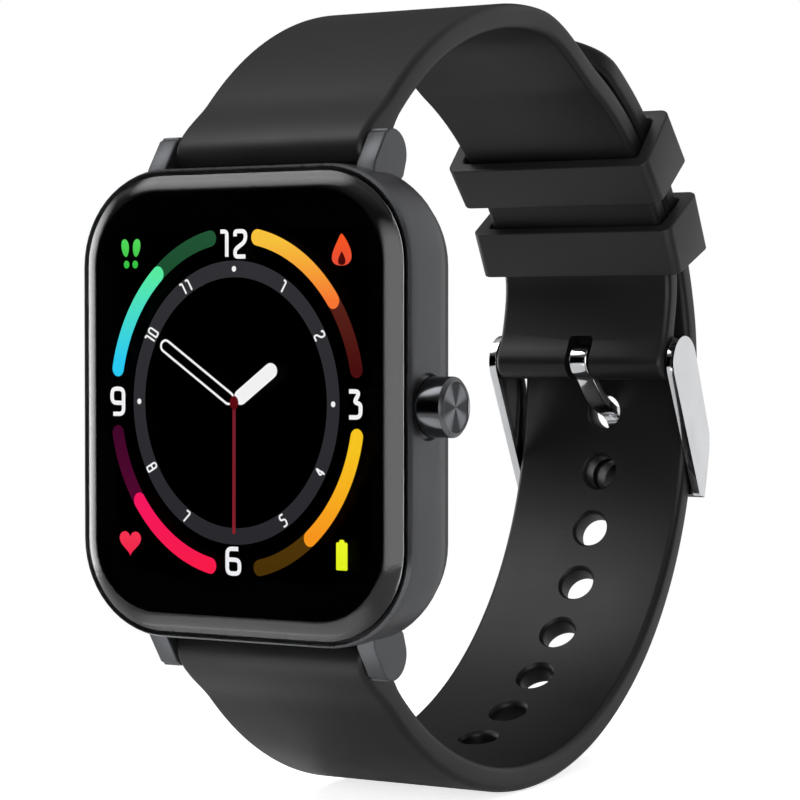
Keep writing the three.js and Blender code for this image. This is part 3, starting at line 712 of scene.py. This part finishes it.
# %% Numerals
DIGITS = {
    "0": [[(0.5, 0), (1, 0), (1, 1), (0, 1), (0, 0), (0.5, 0)]],
    "1": [[(0.1, 1.0), (0.72, 1.0), (0.72, 0)]],
    "2": [[(0, 0.8), (0, 1), (1, 1), (1, 0.6), (0, 0.28), (0, 0), (1, 0)]],
    "3": [[(0, 1), (0.95, 1), (0.45, 0.58), (1, 0.52), (1, 0), (0, 0)]],
    "4": [[(0.72, 0), (0.72, 1), (0, 0.28), (1, 0.28)]],
    "5": [[(0.95, 1), (0, 1), (0, 0.56), (1, 0.56), (1, 0), (0, 0)]],
    "6": [[(0.9, 1), (0, 1), (0, 0), (1, 0), (1, 0.56), (0.05, 0.56)]],
    "7": [[(0, 1), (1, 1), (0.4, 0)]],
    "8": [[(0.5, 0), (1, 0), (1, 1), (0, 1), (0, 0), (0.5, 0)], [(0.05, 0.52), (0.95, 0.52)]],
    "9": [[(0.1, 0), (1, 0), (1, 1), (0, 1), (0, 0.44), (0.95, 0.44)]],
}


def round_corners(path, radius, steps=4):
    path = [np.array(p, float) for p in path]
    made = [path[0]]
    for before, here, after in zip(path, path[1:], path[2:]):
        back, ahead = before - here, after - here
        reach = min(radius, np.linalg.norm(back) * 0.45, np.linalg.norm(ahead) * 0.45)
        start = here + back / np.linalg.norm(back) * reach
        end = here + ahead / np.linalg.norm(ahead) * reach
        for t in np.linspace(0, 1, steps + 1):
            made.append((1 - t) ** 2 * start + 2 * t * (1 - t) * here + t * t * end)
    made.append(path[-1])
    return made


def numeral(text, centre, width, height, gap, half_stroke, layer, material, turn=0.0):
    """Digits side by side, centred on a point and turned clockwise by turn degrees."""
    span = len(text) * width + (len(text) - 1) * gap
    a = -radians(turn)
    turned = np.array([[cos(a), -sin(a)], [sin(a), cos(a)]])
    made = []
    for place, digit in enumerate(text):
        for path in DIGITS[digit]:
            scaled = [(p[0] * width - span / 2 + place * (width + gap), (p[1] - 0.5) * height) for p in path]
            bent = [turned @ p + centre for p in round_corners(scaled, 0.22 * height)]
            made.append(stroke("digit_stroke", bent, half_stroke, layer, material, False))
    return made


# %% Marks of the dial
WHITE = lit("white", "#f6f7fa", "#fdfcfb")
RING_GREY = lit("ring_grey", "#2b2b30", "#333337", -13, 13)
HAND_RED = lit("second_hand_red", "#8a202d", "#76202c", -12, 0)
HUB_RED = lit("hub_red", "#560911", "#660c15", -0.5, 1)
RING_RADIUS, RING_HALF = 11.1, 0.69
ARC_RADIUS, ARC_HALF = 13.92, 0.68

ring = [arc_stroke("half_ring", RING_RADIUS, start, start + 180, RING_HALF, layer, RING_GREY)
        for start, layer in ((0, 1), (180, 1.2))]
on_screen(combine("dial_ring", ring))

white_marks = []
for text, centre, width, height, half_stroke in (
        ("12", (-0.98, 15.24), 1.18, 2.4, 0.2), ("3", (12.66, 0.22), 1.25, 2.4, 0.21),
        ("6", (-0.92, -14.85), 1.4, 2.35, 0.21), ("9", (-14.49, 0.17), 1.38, 2.45, 0.21)):
    white_marks += numeral(text, centre, width, height, 0.62, half_stroke, 2, WHITE)
for hour in (1, 2, 4, 5, 7, 8, 10, 11):
    lean = hour * 30 if hour in (1, 2, 10, 11) else hour * 30 - 180
    white_marks += numeral(str(hour), on_dial(RING_RADIUS, hour * 30), 0.5, 1.12, 0.26, 0.09, 3, WHITE, lean)


def ellipse(centre, half_x, half_z, count=24):
    return [(centre[0] + half_x * cos(t), centre[1] + half_z * sin(t)) for t in full_circle(count)]


white_marks += [plate("dot", ellipse(on_dial(RING_RADIUS, clock), 0.24, 0.27), 3, WHITE)
                for clock in (0, 90, 270)]

# %% [markdown]
# The hour hand is a solid capsule pointing near two, the minute hand an outlined capsule near ten,
# and the second hand a thin dark red line at six. Each lies on its own layer, as drawn on a screen.

# %% Hands and arcs
HOUR_TIP = DIAL_CENTRE + np.array([4.15, 3.05])
MINUTE_TIP = DIAL_CENTRE + np.array([-7.95, 5.35])
HOUR_HALF, MINUTE_HALF = 0.74, 0.55


def part_way(tip, share):
    return DIAL_CENTRE + (tip - DIAL_CENTRE) * share


def capsule_outline(start, end, half):
    along = (end - start) / np.linalg.norm(end - start)
    side = np.array([-along[1], along[0]])
    path = []
    for centre, first in ((end, 90), (start, 270)):
        for turn in np.radians(np.linspace(first, first - 180, 13)):
            path.append(centre + half * (along * cos(turn) + side * sin(turn)))
    return path + [path[0], path[1]]


minute_outline = capsule_outline(part_way(MINUTE_TIP, 0.08), MINUTE_TIP, MINUTE_HALF)
white_marks += [
    stroke("hour_hand", [part_way(HOUR_TIP, share) for share in (0.18, 0.5, 1)], HOUR_HALF, 4, WHITE),
    stroke("hour_neck", [DIAL_CENTRE, part_way(HOUR_TIP, 0.2)], 0.3, 4, WHITE),
    stroke("minute_hand", minute_outline, 0.11, 4, WHITE, False)]
on_screen(combine("dial_white_marks", white_marks))
second = stroke("second_hand", [DIAL_CENTRE, DIAL_CENTRE + np.array([-0.04, -12.3])], 0.18, 4.4, HAND_RED)
hub = plate("hub", ellipse(DIAL_CENTRE, 0.5, 0.66), 4.9, HUB_RED)
on_screen(combine("dial_second_hand", [second, hub]))

ARCS = [
    # name, start and end clock angles, layer, colours, and the height range they span in mm
    ("steps_rest", -44, -11.3, 1.6, ("#194c2c", "#235636"), (10, 16)),
    ("steps_done", -78.5, -39.6, 2, ("#2bd0fa", "#5cf3a6"), (4.0, 12.5)),
    ("move_rest", 48, 78.3, 1.6, ("#4a0f10", "#5a241a"), (3.4, 10)),
    ("move_done", 11.0, 52.8, 2, ("#ff7a35", "#ffc93f"), (9.8, 15.6)),
    ("cell_rest", 138, 168.1, 1.6, ("#4a3208", "#53380c"), (-15.6, -12)),
    ("cell_done", 100.9, 142.2, 2, ("#ff9a20", "#ffcb22"), (-12.2, -4)),
    ("heart_rest", -131, -101.3, 1.6, ("#520a30", "#44082c"), (-9, -3)),
    ("heart_done", -168.5, -127.2, 2, ("#ff1d4b", "#ff1a62"), (-15.6, -9.6)),
]
for name, start, end, layer, colors, span_mm in ARCS:
    glow = lit(name, *colors, *span_mm)
    on_screen(arc_stroke("dial_arc_" + name, ARC_RADIUS, start, end, ARC_HALF, layer, glow))

# %% Pictograms
GREEN = lit("green", "#33c242", "#58e05e", 13, 16)
FLAME = lit("flame", "#f0503a", "#ff5a1e", 13, 16)
EMBER = lit("ember", "#42090a", "#5a1208", 13, 14.4)
HEART = lit("heart", "#f8244c", "#ff3a58", -15, -12)
CELL = lit("cell", "#e9fb20", "#f6ff2c", -15.2, -12.3)

shoes = []
for x, lean in ((-13.55, -0.08), (-12.2, 0.08)):
    sole = [(x + (0.44 + 0.08 * sin(t)) * cos(t) + lean * sin(t), 15.05 + 0.86 * sin(t))
            for t in full_circle(28)]
    heel = ellipse((x - lean * 2, 13.45), 0.33, 0.38)
    shoes += [plate("sole", sole, 2, GREEN), plate("heel", heel, 2, GREEN)]
on_screen(combine("icon_steps", shoes))


def drop(centre, half_width, height, count=36, lean=0.0):
    """A flame or drop: round below, drawn up to a point above."""
    points = []
    for t in full_circle(count):
        rise = 0.5 * (1 - cos(t))
        x = half_width * sin(t) * (1 - 0.72 * rise ** 1.3) * 1.25
        points.append((centre[0] + x + lean * rise * sin(3 * rise), centre[1] + height * (rise ** 1.15)))
    return points


flame = [plate("flame", drop((11.2, 13.05), 1.1, 2.95, lean=0.15), 2, FLAME),
         plate("ember", drop((11.25, 13.1), 0.42, 1.25), 3, EMBER)]
on_screen(combine("icon_flame", flame))
heart = [(-13.02 + 1.28 * sin(t) ** 3,
          -13.45 + 0.083 * (13 * cos(t) - 5 * cos(2 * t) - 2 * cos(3 * t) - cos(4 * t)))
         for t in full_circle(48)]
on_screen(plate("icon_heart", heart, 2, HEART))
cell = [plate("cell", [(11.24 + u, z + v) for u, v in rounded_outline(*size)], layer, CELL)
        for z, size, layer in ((-13.9, (0.62, 1.3, 0.14), 2), (-12.52, (0.26, 0.16, 0.08), 2.6))]
on_screen(combine("icon_cell", cell))


# %% [markdown]
# ## Crown
# The crown is a turned cap: a polished black barrel, a bright chamfer at its outer edge, and a flat
# end sunk slightly below the chamfer and turned in fine rings, with a painted sheen of four wedges in
# its colour. Its profile is spun about its axis, which is the axis of the spin joint.

# %% Crown
CROWN_IN, CROWN_OUT = crown_low[0], crown_high[0]
INNER_END = [(-0.14, 0), (-0.03, 0.1), (0, 0.28)]
OUTER_END = [(0, -0.40), (-0.02, -0.33), (-0.32, -0.04), (-0.38, 0), (-0.43, 0), (-0.47, -0.04),
             (-0.5, -0.12)]
barrel = [(0, CROWN_IN + 0.02), (2.3, CROWN_IN)]
barrel += [(CROWN_RADIUS + r, CROWN_IN + x) for r, x in INNER_END]
barrel += [(CROWN_RADIUS + r, CROWN_OUT + x) for r, x in OUTER_END]
barrel += [(1.2, CROWN_OUT - 0.12), (0, CROWN_OUT - 0.12)]
crown = lathe("crown_turned", barrel, "X", CROWN_AXIS, CROWN_SIDE, 96, 25)
crown.data.materials.append(CHAMFER)
crown.data.materials.append(CROWN_END)
for face in crown.data.polygons:
    x, y, z = face.center / MM
    if face.normal.x > 0.3 and x > CROWN_OUT - 0.37:
        in_end = hypot(y - CROWN_AXIS[0], z - CROWN_AXIS[1]) < CROWN_RADIUS - 0.49
        face.material_index = 2 if in_end else 1
finish_piece(crown, "crown", "crown", "crown_cap")


# %% [markdown]
# ## Strap
# Both halves are moulded flat bands with rounded edges, bent round the wrist. Each is lofted flat,
# with its height and arc length following one rule: the buckle half dips under the tail and the tail
# lifts over it, with smooth ramps. Then one Geometry Nodes tree bends the flat piece round the loop.
# It bends the keepers too. Rings of the rounded section swell into a round nose at each spring bar.

# %% A tree that bends flat pieces round the wrist
def new_tree(name, **inputs):
    """A node group with named inputs, each a kind and a starting value; gives it with their identifiers."""
    tree = bpy.data.node_groups.new(name, "GeometryNodeTree")
    ids = {}
    for label, (kind, value) in inputs.items():
        socket = tree.interface.new_socket(label.replace("_", " "), in_out="INPUT",
                                           socket_type="NodeSocket" + kind)
        if value is not None:
            socket.default_value = value
        ids[label] = socket.identifier
    return tree, ids, add_node(tree, "NodeGroupInput").outputs


def end_tree(tree, geometry, finish):
    real = add_node(tree, "GeometryNodeRealizeInstances", {0: geometry})
    painted = add_node(tree, "GeometryNodeSetMaterial", {"Geometry": real.outputs[0], "Material": finish})
    tree.interface.new_socket("Geometry", in_out="OUTPUT", socket_type="NodeSocketGeometry")
    add_node(tree, "NodeGroupOutput", {0: painted.outputs[0]})


def run_tree(host, tree, **values):
    """Runs a tree on an object with these inputs and leaves a plain mesh."""
    step = host.modifiers.new("nodes", "NODES")
    step.node_group, ids = tree
    for label, value in values.items():
        step[ids[label]] = value
    apply_modifiers(host)
    return host


def on_circle(tree, angle, radius, centre, across=0.0):
    """The point at an angle on a circle in the Y-Z plane, with X taken from across."""
    y = calc(tree, "MULTIPLY", calc(tree, "COSINE", angle), radius)
    z = calc(tree, "MULTIPLY", calc(tree, "SINE", angle), radius)
    point = add_node(tree, "ShaderNodeCombineXYZ", {"X": across, "Y": y, "Z": z})
    return vector_calc(tree, "ADD", point.outputs[0], centre)


def bend_tree():
    """Flat piece in, bent piece out: X stays across, Y is height above the circle, Z is arc length."""
    tree, ids, given = new_tree("bend_round_wrist", Flat=("Geometry", None), Centre=("Vector", (0, 0, 0)),
                                Radius=("Float", 0.04), Finish=("Material", None))
    place = add_node(tree, "GeometryNodeInputPosition").outputs[0]
    flat = add_node(tree, "ShaderNodeSeparateXYZ", {0: place}).outputs
    angle = calc(tree, "DIVIDE", flat["Z"], given["Radius"])
    reach = calc(tree, "ADD", flat["Y"], given["Radius"])
    moved = add_node(tree, "GeometryNodeSetPosition", {
        "Geometry": given["Flat"], "Position": on_circle(tree, angle, reach, given["Centre"], flat["X"])})
    end_tree(tree, moved.outputs[0], given["Finish"])
    return tree, ids


BEND = bend_tree()
LOOP_CENTRE = (0.0, LOOP[0] * MM, LOOP[1] * MM)


def bend(piece, radius, material):
    return run_tree(piece, BEND, Centre=LOOP_CENTRE, Radius=radius * MM, Finish=material)


# %% Strap rule
EDGE = 0.75
KNUCKLE_LUG, KNUCKLE_BUCKLE = 2.3, 2.2
TAIL_STRAIGHT_END, TAIL_TIP = 61.0, 72.0


def ramp(value, start, end):
    t = min(1.0, max(0.0, (value - start) / (end - start)))
    return t * t * (3 - 2 * t)


def tail_radius(angle):
    return LOOP_RADIUS + 0.8 * ramp(angle, -8, 12) + 0.25 * ramp(angle, 56, 70)


def inner_radius(angle):
    return LOOP_RADIUS - 2.3 * ramp(-angle, -86, -66) - 3.9 * ramp(-angle, -24, -5)


def polar(radius, angle):
    return LOOP + radius * np.array([cos(radians(angle)), sin(radians(angle))])


def strap_ring(angle, radius, half_width, thickness):
    """A rounded section of the strap drawn flat: width, height above the loop circle, arc length."""
    section = rounded_outline(half_width, thickness / 2, min(EDGE, thickness * 0.42), 6)
    return [(u, radius - LOOP_RADIUS + v, radians(angle) * LOOP_RADIUS) for u, v in section]


def nose_rings(radius, end_angle, knuckle, outward):
    """The round end that wraps a spring bar, past the bar's angle in the outward direction."""
    rings = []
    for turn in np.linspace(8, 88, 9):
        reach = knuckle * sin(radians(turn))
        angle = end_angle + outward * degrees(reach / radius)
        rings.append(strap_ring(angle, radius, STRAP_HALF - 0.25 * ramp(turn, 40, 88),
                                2 * knuckle * cos(radians(turn))))
    return rings


def upper_strap():
    rings = nose_rings(LOOP_RADIUS, LUG_ANGLE, KNUCKLE_LUG, 1)[::-1]
    for angle in np.linspace(LUG_ANGLE, PIN_ANGLE, 96):
        thickness = (STRAP_THICK + (2 * KNUCKLE_LUG - STRAP_THICK) * ramp(angle, LUG_ANGLE - 9, LUG_ANGLE)
                     + (2 * KNUCKLE_BUCKLE - STRAP_THICK) * ramp(-angle, -PIN_ANGLE - 5, -PIN_ANGLE))
        rings.append(strap_ring(angle, inner_radius(angle), STRAP_HALF, thickness))
    rings += nose_rings(inner_radius(PIN_ANGLE), PIN_ANGLE, KNUCKLE_BUCKLE, -1)
    return bend(loft("upper_strap_moulded", rings, SILICONE, sharp=60), LOOP_RADIUS, SILICONE)


def lower_strap():
    rings = nose_rings(LOOP_RADIUS, -LUG_ANGLE, KNUCKLE_LUG, -1)[::-1]
    for angle in np.linspace(-LUG_ANGLE, TAIL_STRAIGHT_END, 128):
        thickness = (STRAP_THICK + (2 * KNUCKLE_LUG - STRAP_THICK) * ramp(-angle, LUG_ANGLE - 9, LUG_ANGLE)
                     - 0.3 * ramp(angle, 58, 70))
        rings.append(strap_ring(angle, tail_radius(angle), STRAP_HALF, thickness))
    for turn in np.linspace(6, 89, 22):
        share = sin(radians(turn))
        angle = TAIL_STRAIGHT_END + (TAIL_TIP - TAIL_STRAIGHT_END) * share
        half_width = max(STRAP_HALF * cos(radians(turn)), 0.3)
        thickness = STRAP_THICK - 0.3 * ramp(angle, 58, 70) - 0.9 * ramp(turn, 70, 89)
        rings.append(strap_ring(angle, tail_radius(angle), half_width, thickness))
    return bend(loft("lower_strap_moulded", rings, SILICONE, sharp=60), LOOP_RADIUS, SILICONE)


# %% [markdown]
# ## Size holes
# Eight holes repeat along the tail at one pitch. A Geometry Nodes tree stands a flared cutting tool
# at each. The count, first angle, pitch and radius are its inputs, so the row of holes is changed
# with four numbers. The tools are realised into one mesh and cut from the strap in one step.

# %% Size holes
HOLE_COUNT, HOLE_FIRST, HOLE_STEP, HOLE_RADIUS = 8, -3.7, -10.6, 1.95
HOLE_FLARE = [(0, 0.85), (0.06, 1.08), (0.22, 1.28), (0.42, 1.5), (0.9, 3.2)]
BAR_HOLE = [(0.85, -12), (0.85, 12)]


def row_tree():
    """Copies of an object round an arc in the Y-Z plane, each turned about X by its angle."""
    tree, ids, given = new_tree("copies_round_loop", Tool=("Object", None), Count=("Int", 8),
                                First_Angle=("Float", 0.0), Step_Angle=("Float", 0.1),
                                Centre=("Vector", (0, 0, 0)), Radius=("Float", 0.04),
                                Finish=("Material", None))
    line = add_node(tree, "GeometryNodeMeshLine", {"Count": given["Count"], "Offset": (0, 0, 0)})
    index = add_node(tree, "GeometryNodeInputIndex").outputs[0]
    angle = calc(tree, "MULTIPLY_ADD", index, given["Step Angle"], given["First Angle"])
    points = add_node(tree, "GeometryNodeSetPosition", {
        "Geometry": line.outputs[0], "Position": on_circle(tree, angle, given["Radius"], given["Centre"])})
    turn = add_node(tree, "ShaderNodeCombineXYZ", {"X": angle}).outputs[0]
    turn = add_node(tree, "FunctionNodeEulerToRotation", {0: turn}).outputs[0]
    tool = add_node(tree, "GeometryNodeObjectInfo", {"Object": given["Tool"]}).outputs["Geometry"]
    copies = add_node(tree, "GeometryNodeInstanceOnPoints", {
        "Points": points.outputs[0], "Instance": tool, "Rotation": turn})
    end_tree(tree, copies.outputs[0], given["Finish"])
    return tree, ids


hole_profile = [(r, -h) for r, h in HOLE_FLARE[::-1]] + HOLE_FLARE
tool = lathe("hole_tool", hole_profile, "Y", (0, 0), SILICONE, 40, start=(HOLE_RADIUS, 0))
tools = run_tree(link_object("hole_tools", bpy.data.meshes.new("hole_tools")), row_tree(), Tool=tool,
                 Count=HOLE_COUNT, First_Angle=radians(HOLE_FIRST), Step_Angle=radians(HOLE_STEP),
                 Centre=LOOP_CENTRE, Radius=(LOOP_RADIUS + 0.02) * MM, Finish=SILICONE)
bpy.data.objects.remove(tool)
lower = lower_strap()
carve(lower, [tools, lathe("bar_hole", BAR_HOLE, "X", (LUG_BAR[0], -LUG_BAR[1]), SILICONE, 24)], 40)
finish_piece(lower, "watch", "silicone", "lower_strap")

upper = upper_strap()
slot_outline = [(u, BUCKLE_PIN[1] - 0.7 + v) for u, v in rounded_outline(1.55, 3.6, 0.5)]
slot = slab("slot_tool", slot_outline, BUCKLE_PIN[0] - 4, BUCKLE_PIN[0] + 4, SILICONE)
bar_holes = [lathe("bar_hole", BAR_HOLE, "X", centre, SILICONE, 24) for centre in (LUG_BAR, BUCKLE_PIN)]
carve(upper, [slot] + bar_holes, 40)
finish_piece(upper, "watch", "silicone", "upper_strap")


# %% [markdown]
# ## Keepers
# A keeper is a closed band of the same silicone round both layers, coloured lighter than the strap
# as painted light. The fixed one is bonded in place, the free one slides along the strap. Each is a
# small rounded section swept round a rounded rectangle, with the whole band bent to the strap's
# curve.

# %% Keepers
KEEPER_HALF, KEEPER_LOW, KEEPER_HIGH = 11.2, 35.7, 42.0
KEEPER_WALL, KEEPER_SIDE, KEEPER_LONG = 1.35, 1.6, 3.2


def keeper(name, angle):
    centre_radius = (KEEPER_LOW + KEEPER_HIGH) / 2
    half_r = (KEEPER_HIGH - KEEPER_LOW) / 2
    inner = rounded_outline(KEEPER_HALF, half_r, 0.6, 8)
    outer = rounded_outline(KEEPER_HALF + KEEPER_SIDE, half_r + KEEPER_WALL, 1.1, 8)
    section = rounded_outline(KEEPER_LONG, 0.5, 0.16, 4)
    start = radians(angle) * centre_radius
    rings = [[(iu + (ou - iu) * (depth + 0.5), iv + (ov - iv) * (depth + 0.5), start + along)
              for along, depth in section] for (iu, iv), (ou, ov) in zip(inner, outer)]
    band = loft(name, rings, KEEPER_SILICONE_PAINTED_LIGHTER, closed=True, sharp=50)
    return bend(band, centre_radius, KEEPER_SILICONE_PAINTED_LIGHTER)


finish_piece(keeper("fixed_keeper_band", 27.6), "watch", "silicone", "fixed_keeper")
finish_piece(keeper("free_keeper_band", 43.0), "free_keeper", "silicone", "free_keeper")


# %% [markdown]
# ## Buckle
# The buckle frame is a cast and polished U: two side plates, broad at the pin and tapering to a flat
# bar that lies outside the tail. The outline of a plate is the hull of three circles. The plates and
# the bar are joined with a union and every edge is rounded with one bevel, as polishing does.

# %% Buckle frame
PLATE_OUTER = box_mm("buckle_frame")[1][0]
PLATE_INNER = PLATE_OUTER - 0.9
BAR_INNER, BAR_OUTER, BAR_FROM, BAR_TO = 41.25, 42.4, -8.2, -17.0
PLATE_CIRCLES = [(63.0, 3.4, 3.1), (67.5, -5.4, 2.3), (67.75, -11.4, 0.8)]


def side_plate(side):
    points = [(y + r * cos(t), z + r * sin(t)) for y, z, r in PLATE_CIRCLES
              for t in full_circle(40)]
    outline = [points[corner] for corner in convex_hull_2d(points)]
    first = outline.index(min(outline))
    outline = outline[first:] + outline[:first]
    rings = [[(side * x, y, z) for y, z in outline] for x in (PLATE_INNER, PLATE_OUTER)]
    return loft(f"plate_{side}", rings, CHROME)


def cross_bar():
    x = PLATE_OUTER - 0.05
    corners = ((-x, BAR_INNER), (x, BAR_INNER), (x, BAR_OUTER), (-x, BAR_OUTER))
    rings = [[(u, *polar(radius, angle)) for u, radius in corners]
             for angle in np.linspace(BAR_FROM, BAR_TO, 9)]
    return loft("cross_bar", rings, CHROME)


buckle = cross_bar()
carve(buckle, [side_plate(side) for side in (-1, 1)], operation="UNION")
carve(buckle, [lathe("pin_hole", [(0.5, side * (PLATE_INNER - 0.5)), (0.5, side * (PLATE_INNER + 0.6))],
                     "X", BUCKLE_PIN, CHROME, 24) for side in (-1, 1)])
ease = buckle.modifiers.new("ease", "BEVEL")
ease.width = 0.28 * MM
ease.segments = 4
ease.limit_method = "ANGLE"
ease.angle_limit = radians(40)
ease.use_clamp_overlap = True
apply_modifiers(buckle)
buckle.name = "buckle_frame_polished"
smooth(buckle, 45)
finish_piece(buckle, "buckle", "chrome", "buckle_frame")


# %% [markdown]
# ## Tongue
# The tongue is a strip of the same metal. One end is rolled into an eye round the spring bar, the
# rest runs through a size hole and bends down to rest on the cross bar. It is one section swept along
# an arc and then a smooth curve through a few points.

# %% Tongue
TONGUE_HALF, TONGUE_THICK, EYE_RADIUS = 1.15, 1.0, 1.38
TONGUE_LINE = [(61.2, 2.2), (62.5, 0.85), (64.5, -0.95), (66.8, -2.1), (68.7, -2.75), (69.95, -3.75),
               (70.6, -5.6), (70.45, -8.3), (69.95, -10.2)]


def smooth_curve(points, per_span=8):
    """A Catmull-Rom curve through the points."""
    p = np.array(points, float)
    p = np.array([2 * p[0] - p[1], *p, 2 * p[-1] - p[-2]])
    made = []
    for i in range(1, len(p) - 2):
        for t in np.linspace(0, 1, per_span, endpoint=False):
            made.append(0.5 * (2 * p[i] + (p[i + 1] - p[i - 1]) * t
                               + (2 * p[i - 1] - 5 * p[i] + 4 * p[i + 1] - p[i + 2]) * t ** 2
                               + (3 * p[i] - 3 * p[i + 1] + p[i + 2] - p[i - 1]) * t ** 3))
    return made + [p[-2]]


def tongue():
    eye = [BUCKLE_PIN + EYE_RADIUS * np.array([cos(t), sin(t)])
           for t in np.radians(np.linspace(-25, 262, 30))]
    path = np.array(eye + smooth_curve(TONGUE_LINE)[3:])
    tangents = np.gradient(path, axis=0)
    tangents /= np.linalg.norm(tangents, axis=1, keepdims=True)
    rings = []
    for number, (point, tangent) in enumerate(zip(path, tangents)):
        rings_left = len(path) - 1 - number
        tip = sqrt(1 - (1 - min(rings_left, 6) / 6.0) ** 2 * 0.9)
        normal = np.array([-tangent[1], tangent[0]])
        half_width = (TONGUE_HALF + 0.12 * ramp(number, 30, 50)) * tip
        section = rounded_outline(half_width, TONGUE_THICK / 2 * max(tip, 0.6), 0.24, 4)
        rings.append([(u, *(point + normal * v)) for u, v in section])
    return loft("tongue_polished", rings, CHROME, sharp=50)


finish_piece(tongue(), "tongue", "chrome", "buckle_tongue")


# %% [markdown]
# ## Back
# The back is a textured plastic cover with a raised round boss, a glossy sensor lens, four screws
# and two charging contacts. The cover is lofted like the case. The four screws are one head copied
# to the corners of a rectangle by a third Geometry Nodes tree, which also copies the LED windows.

# %% Back cover and lens
back_low, back_high = box_mm("back_cover")
lens_low, lens_high = box_mm("sensor_window")
LENS_RADIUS, LENS_TOP = lens_high[0], lens_high[1]
COVER_HALF = (back_high[0], back_high[2])
COVER_FACE = -1.3
BOSS_TOP = back_high[1]
screw_x, screw_z = middle("back_screw_2")[0], middle("back_screw_2")[2]
contact_x, contact_z = middle("charge_contact_2")[0], middle("charge_contact_2")[2]


def back_cover():
    profile = [(0.3, back_low[1]), (0.02, back_low[1] + 0.12), (0.0, back_low[1] + 0.45),
               (0.08, back_low[1] + 0.7), (0.35, COVER_FACE - 0.06), (0.7, COVER_FACE),
               (5.0, COVER_FACE + 0.01)]
    rings = [face_ring(COVER_HALF, 8.8, y, inset) for inset, y in profile]
    return loft("back_cover_moulded", rings, PLASTIC, sharp=40)


def boss():
    profile = [(LENS_RADIUS + 0.05, COVER_FACE - 0.1), (LENS_RADIUS + 0.05, BOSS_TOP - 0.12),
               (LENS_RADIUS + 0.15, BOSS_TOP), (12.1, BOSS_TOP), (12.5, BOSS_TOP - 0.1),
               (12.85, BOSS_TOP - 0.4), (13.3, COVER_FACE - 0.05)]
    rings = [[(r * cos(t), y, r * sin(t)) for r, y in profile] for t in full_circle(96)]
    return loft("lens_boss", rings, PLASTIC, closed=True, sharp=40)


def cover_tool(profile, centre, segments=32):
    return lathe("cover_tool", profile, "Y", centre, PLASTIC, segments, start=(0, COVER_FACE))


cover = back_cover()
tools = [cover_tool([(1.22, -0.5), (1.22, -0.12), (1.5, 0.2), (1.5, 1)], (sx * screw_x, sz * screw_z))
         for sx in (-1, 1) for sz in (-1, 1)]
tools += [cover_tool([(0.98, -0.6), (0.98, -0.1), (1.2, 0.15), (1.2, 1)], (sx * contact_x, contact_z))
          for sx in (-1, 1)]
tools.append(cover_tool([(LENS_RADIUS + 0.04, -2.7), (LENS_RADIUS + 0.04, 2.3)], (0, 0), 96))
carve(cover, tools, 40)
finish_piece(combine("back_cover_moulded", [cover, boss()]), "watch", "plastic", "back_cover")
lens_edge = [(0, lens_low[1] - LENS_TOP), (0, -0.35), (-0.1, -0.15), (-0.4, -0.03), (-0.9, 0)]
lens_edge = [(-LENS_RADIUS, lens_low[1] - LENS_TOP)] + lens_edge + [(-LENS_RADIUS, 0)]
lens = lathe("sensor_lens", lens_edge, "Y", (0, 0), LENS, 96, 30, start=(LENS_RADIUS, LENS_TOP))
finish_piece(lens, "watch", "sensor_glass", "sensor_window")

# %% Screws and sensor windows, copied to the corners of a rectangle
def corner_tree():
    tree, ids, given = new_tree("copies_at_corners", Part=("Object", None), Width=("Float", 0.02),
                                Height=("Float", 0.03), Finish=("Material", None))
    grid = add_node(tree, "GeometryNodeMeshGrid", {
        "Size X": given["Width"], "Size Y": given["Height"], "Vertices X": 2, "Vertices Y": 2})
    upright = add_node(tree, "GeometryNodeTransform", {
        "Geometry": grid.outputs[0], "Rotation": (radians(90), 0, 0)})
    part = add_node(tree, "GeometryNodeObjectInfo", {"Object": given["Part"]}).outputs["Geometry"]
    copies = add_node(tree, "GeometryNodeInstanceOnPoints", {"Points": upright.outputs[0], "Instance": part})
    end_tree(tree, copies.outputs[0], given["Finish"])
    return tree, ids


CORNERS = corner_tree()


def at_corners(name, part, half_width, half_height, material):
    whole = run_tree(link_object(name, bpy.data.meshes.new(name)), CORNERS, Part=part,
                     Width=2 * half_width * MM, Height=2 * half_height * MM, Finish=material)
    bpy.data.objects.remove(part)
    smooth(whole, 35)
    return whole


HEAD = [(0, -0.6), (1.0, -0.6), (1.08, -0.2), (1.08, -0.14), (0.98, -0.04), (0.8, 0), (0, 0)]
WINDOW = [(0, -0.1), (1.15, -0.1), (1.15, -0.002), (1.1, 0.006), (0, 0.006)]
screw_top = box_mm("back_screw_1")[1][1]
head = lathe("screw_head", HEAD, "Y", (0, 0), STEEL, 40, start=(0, screw_top))
carve(head, [slab("cross", rounded_outline(*half, 0.08, 3), screw_top - 0.28, screw_top + 0.3, STEEL)
             for half in ((0.52, 0.12), (0.12, 0.52))])
screws = at_corners("back_screw_heads", head, screw_x, abs(screw_z), STEEL)
finish_piece(screws, "watch", "steel", *[f"back_screw_{n}" for n in (1, 2, 3, 4)])
window = lathe("window", WINDOW, "Y", (0, 0), LENS, 40, start=(0, LENS_TOP))
windows = at_corners("sensor_led_windows", window, 3.4, 2.2, tinted("green", "#0b2417", "#103020"))
finish_piece(windows, "watch", "sensor_glass")
diode = slab("sensor_diode_window", rounded_outline(1.3, 1.3, 0.3), LENS_TOP - 0.1, LENS_TOP + 0.006,
             tinted("violet", "#140f1c", "#1c1526"))
finish_piece(diode, "watch", "sensor_glass")

# %% Contacts
DOME = [(0, -1.2), (0.93, -1.2), (0.93, -0.02), (0.84, 0.06), (0.5, 0.1), (0, 0.11)]
for number, sx in ((1, -1), (2, 1)):
    dome = lathe(f"charge_contact_dome_{number}", DOME, "Y", (sx * contact_x, contact_z), GOLD, 40, 40,
                 (0, COVER_FACE))
    finish_piece(dome, "watch", "gold", f"charge_contact_{number}")
